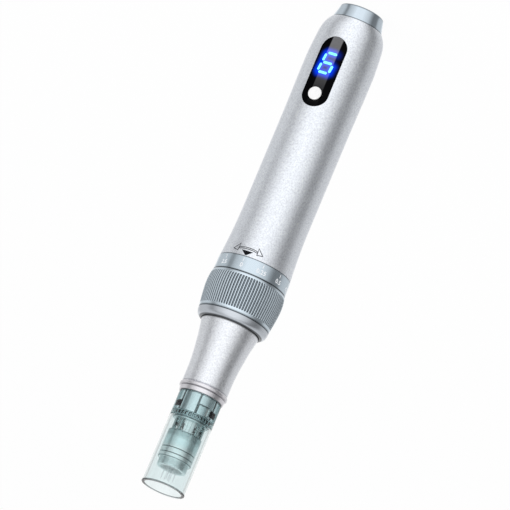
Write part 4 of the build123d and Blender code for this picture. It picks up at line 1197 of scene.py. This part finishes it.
def makeCore():
    # a turned body with two grooves, a ring at its foot, and between them a lined sleeve and the split posts
    c = core
    solids, shades = [], []

    def add(solid, *levels):
        # levels of painted shade, hollowness and painted highlight: one number, one for each row of points,
        # or one for each point
        solids.append(solid)
        shades.append([np.repeat(np.ravel(level), len(solid[0]) // np.size(level)) for level in levels])

    corners = [(c.stem, c.start, 0), (c.radius, c.start, 0.25)]
    deep = c.radius - c.lineDepth
    for low in c.start + np.array(c.lines):
        high = low + c.lineWidth
        corners += [(c.radius, low, 0.04), (deep, low, 0), (deep, high, 0), (c.radius, high, 0.04)]
    corners += [(c.radius, c.end, 0.2), (c.nose, c.end, 0.05), (c.nose, c.noseEnd, 0.3),
                (c.bore, c.noseEnd, 0.2), (c.bore, c.start + c.floor, 0), (c.stem, c.start + c.floor, 0)]
    radius, height = spread(eased(corners), 0.35).T
    # how much painted shade, hollowness and painted highlight a row gets depends on where on the outline it
    # lies
    onNose = height > c.end + 0.1
    # painted shade in the grooves, along the end step and the foot's rim, towards the start and on the nose;
    # painted highlight over the front
    groove = (radius < deep + 0.02) & (radius > c.radius - 0.6) & (height < c.end - 0.3)
    step = (np.abs(height - c.end) < 0.15) & (radius > c.radius - 0.3)
    top = 0.42 * within(height, c.start + 1.2, c.start + 3.4) * (radius > c.bore + 1)
    nose = 0.12 * onNose * (height < c.noseEnd - 0.4)
    brim = 0.7 * (height < c.start + 0.3) * (radius > c.radius - 0.2)
    pale = easy(height, c.start + 4.2, c.start + 6.6) * (radius > c.bore + 0.3) * np.where(onNose, 0.35, 0.62)
    hollow = np.where(radius < c.bore + 0.3, 0.85, np.where(onNose, 0.3, 0.1))
    edge = np.maximum.reduce([0.9 * groove + 0.85 * step, top + nose, brim])
    add(turned(radius, height, c.columns), edge, hollow, pale)
    inside, foot = c.radius - c.postDepth, c.foot + c.ring
    band = [(inside, c.foot, 0), (c.radius, c.foot, 0.05), (c.radius, foot, 0.05), (inside, foot, 0)]
    # the foot ring: a little painted shade and painted highlight
    add(turned(*eased(band, 3).T, c.ringColumns), 0.25, 0, 0.3)
    rows = np.array([foot - 0.02, *(foot + rise for rise in c.sleeveRows), c.start + 0.05])
    sleeve = np.concatenate([paired(c.sleeve, rows), paired(c.sleeve - c.sleeveWall, rows[::-1])])
    # the sleeve is darkened a little all over and more along its lines, and gets painted highlight
    line = 0.09 + 0.24 * (np.arange(len(sleeve) * c.sleeveColumns) % c.sleeveLine < 2)
    beside = np.abs((turnsOf(c.sleeveColumns) - c.postTurn + 45) % 90 - 45)
    share = np.array([0, 0.1, 1, 1, 1, 1, 0.1, 0])[:, None]     # it opens between the posts, not at its foot
    add(turned(*sleeve.T, c.sleeveColumns), line, 0.12 + 0.86 * share * within(beside, 22, 28), 0.5)
    for k in range(c.posts):
        for side in (-1, 1):
            y = sorted((side * c.postSlot / 2, side * c.postWidth / 2))
            post = boxOf((inside, c.radius - 0.05), y, (foot - 0.02, c.start + 0.05))
            # the posts: painted shade and painted highlight
            add(turnedBy(post, c.postTurn + k * 360 / c.posts), 0.3, 0.1, 0.5)
    levels = {key: np.concatenate(parts) for key, parts in zip(("edge", "hollow", "pale"), zip(*shades))}
    piece("innerCore", together(solids), "cartridge", "coreTeal", ["cartridge_core"], 35.0,
          levels)


makeTube()
makeNeck()
makeSeal()
makeCore()
print("cartridge done")

# springs
rodCoil = Plan(radius=2.4, wire=0.4, start=99.42, end=103.95, turns=4)
# the needle piston's spring gives way to two motions: its foot to the carriage, its upper half to the rod
pistonCoils = {
    "pistonSpringFoot": Plan(radius=2.5, wire=0.35, start=148.03, end=152.9, turns=3, give=2.5, anchor=148.03,
                             body="needle_piston", joint="carriage_travel"),
    "pistonSpring": Plan(radius=2.5, wire=0.35, start=152.9, end=157.77, turns=3, give=3.0, anchor=157.77,
                         body="cartridge", joint="drive_rod_stroke"),
}


def coilOf(plan, perTurn=40, sides=10):
    # a round wire carried along a helix; each ring of it stands square to the wire
    turn = np.linspace(0, 2 * np.pi * plan.turns, plan.turns * perTurn + 1)
    rise = (plan.end - plan.start) / (2 * np.pi * plan.turns)
    middle = np.stack([plan.radius * np.cos(turn), plan.radius * np.sin(turn), plan.start + rise * turn], -1)
    out = np.stack([np.cos(turn), np.sin(turn), 0 * turn], -1)
    slope = np.hypot(plan.radius, rise)
    up = np.stack([rise * np.sin(turn), -rise * np.cos(turn), plan.radius + 0 * turn], -1) / slope
    ring = (np.arange(sides) * 2 * np.pi / sides)[None, :, None]
    rings = middle[:, None] + plan.wire / 2 * (out[:, None] * np.cos(ring) + up[:, None] * np.sin(ring))
    return capped(rings, middle[[0, -1]])


rodSpring = piece("rodSpring", coilOf(rodCoil), None, "springSteel", ["rod_spring"], 50.0)
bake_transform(rodSpring)
for name, plan in pistonCoils.items():
    coil = piece(name, coilOf(plan), plan.body, "springSteel", ["cartridge_spring"], 50.0)
    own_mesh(coil)
print("springs done")

# finishes of the CAD pieces that show as they are
nodeFinishes = {
    "rubberBlack": ("tail_seal", "friction_ring", "nose_seal", "spigot_ring"),
    "framePlastic": ("charging_socket", "led_display", "battery_cradle", "motor_end_cap"),
    "nickelPlate": ("socket_nut", "board_screws", "battery_tabs", "motor_terminals"),
    "chipBlack": ("tact_switch", "board_chips"), "boardGreen": ("main_board",),
    "cellSleeve": ("battery_cell",), "bareAluminium": ("chassis_tube",), "springSteel": ("ring_clip",),
    "magnetGrey": ("motor_magnet",),
    "acetalWhite": ("drive_carriage", "swash_cam", "cam_follower", "needle_piston", "needle_block"),
    "bareSteel": ("carriage_pin", "motor_can", "motor_shaft", "motor_rotor", "drive_rod"),
    "bronzeBush": ("rod_bush", "nose_bush"), "latchDark": ("latch_blocks",), "needleSteel": ("needles",),
}
for finish, nodes in nodeFinishes.items():
    for node in nodes:
        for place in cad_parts[node].material_slots:
            place.material = finishes[finish]
print("finishes of the CAD pieces done")
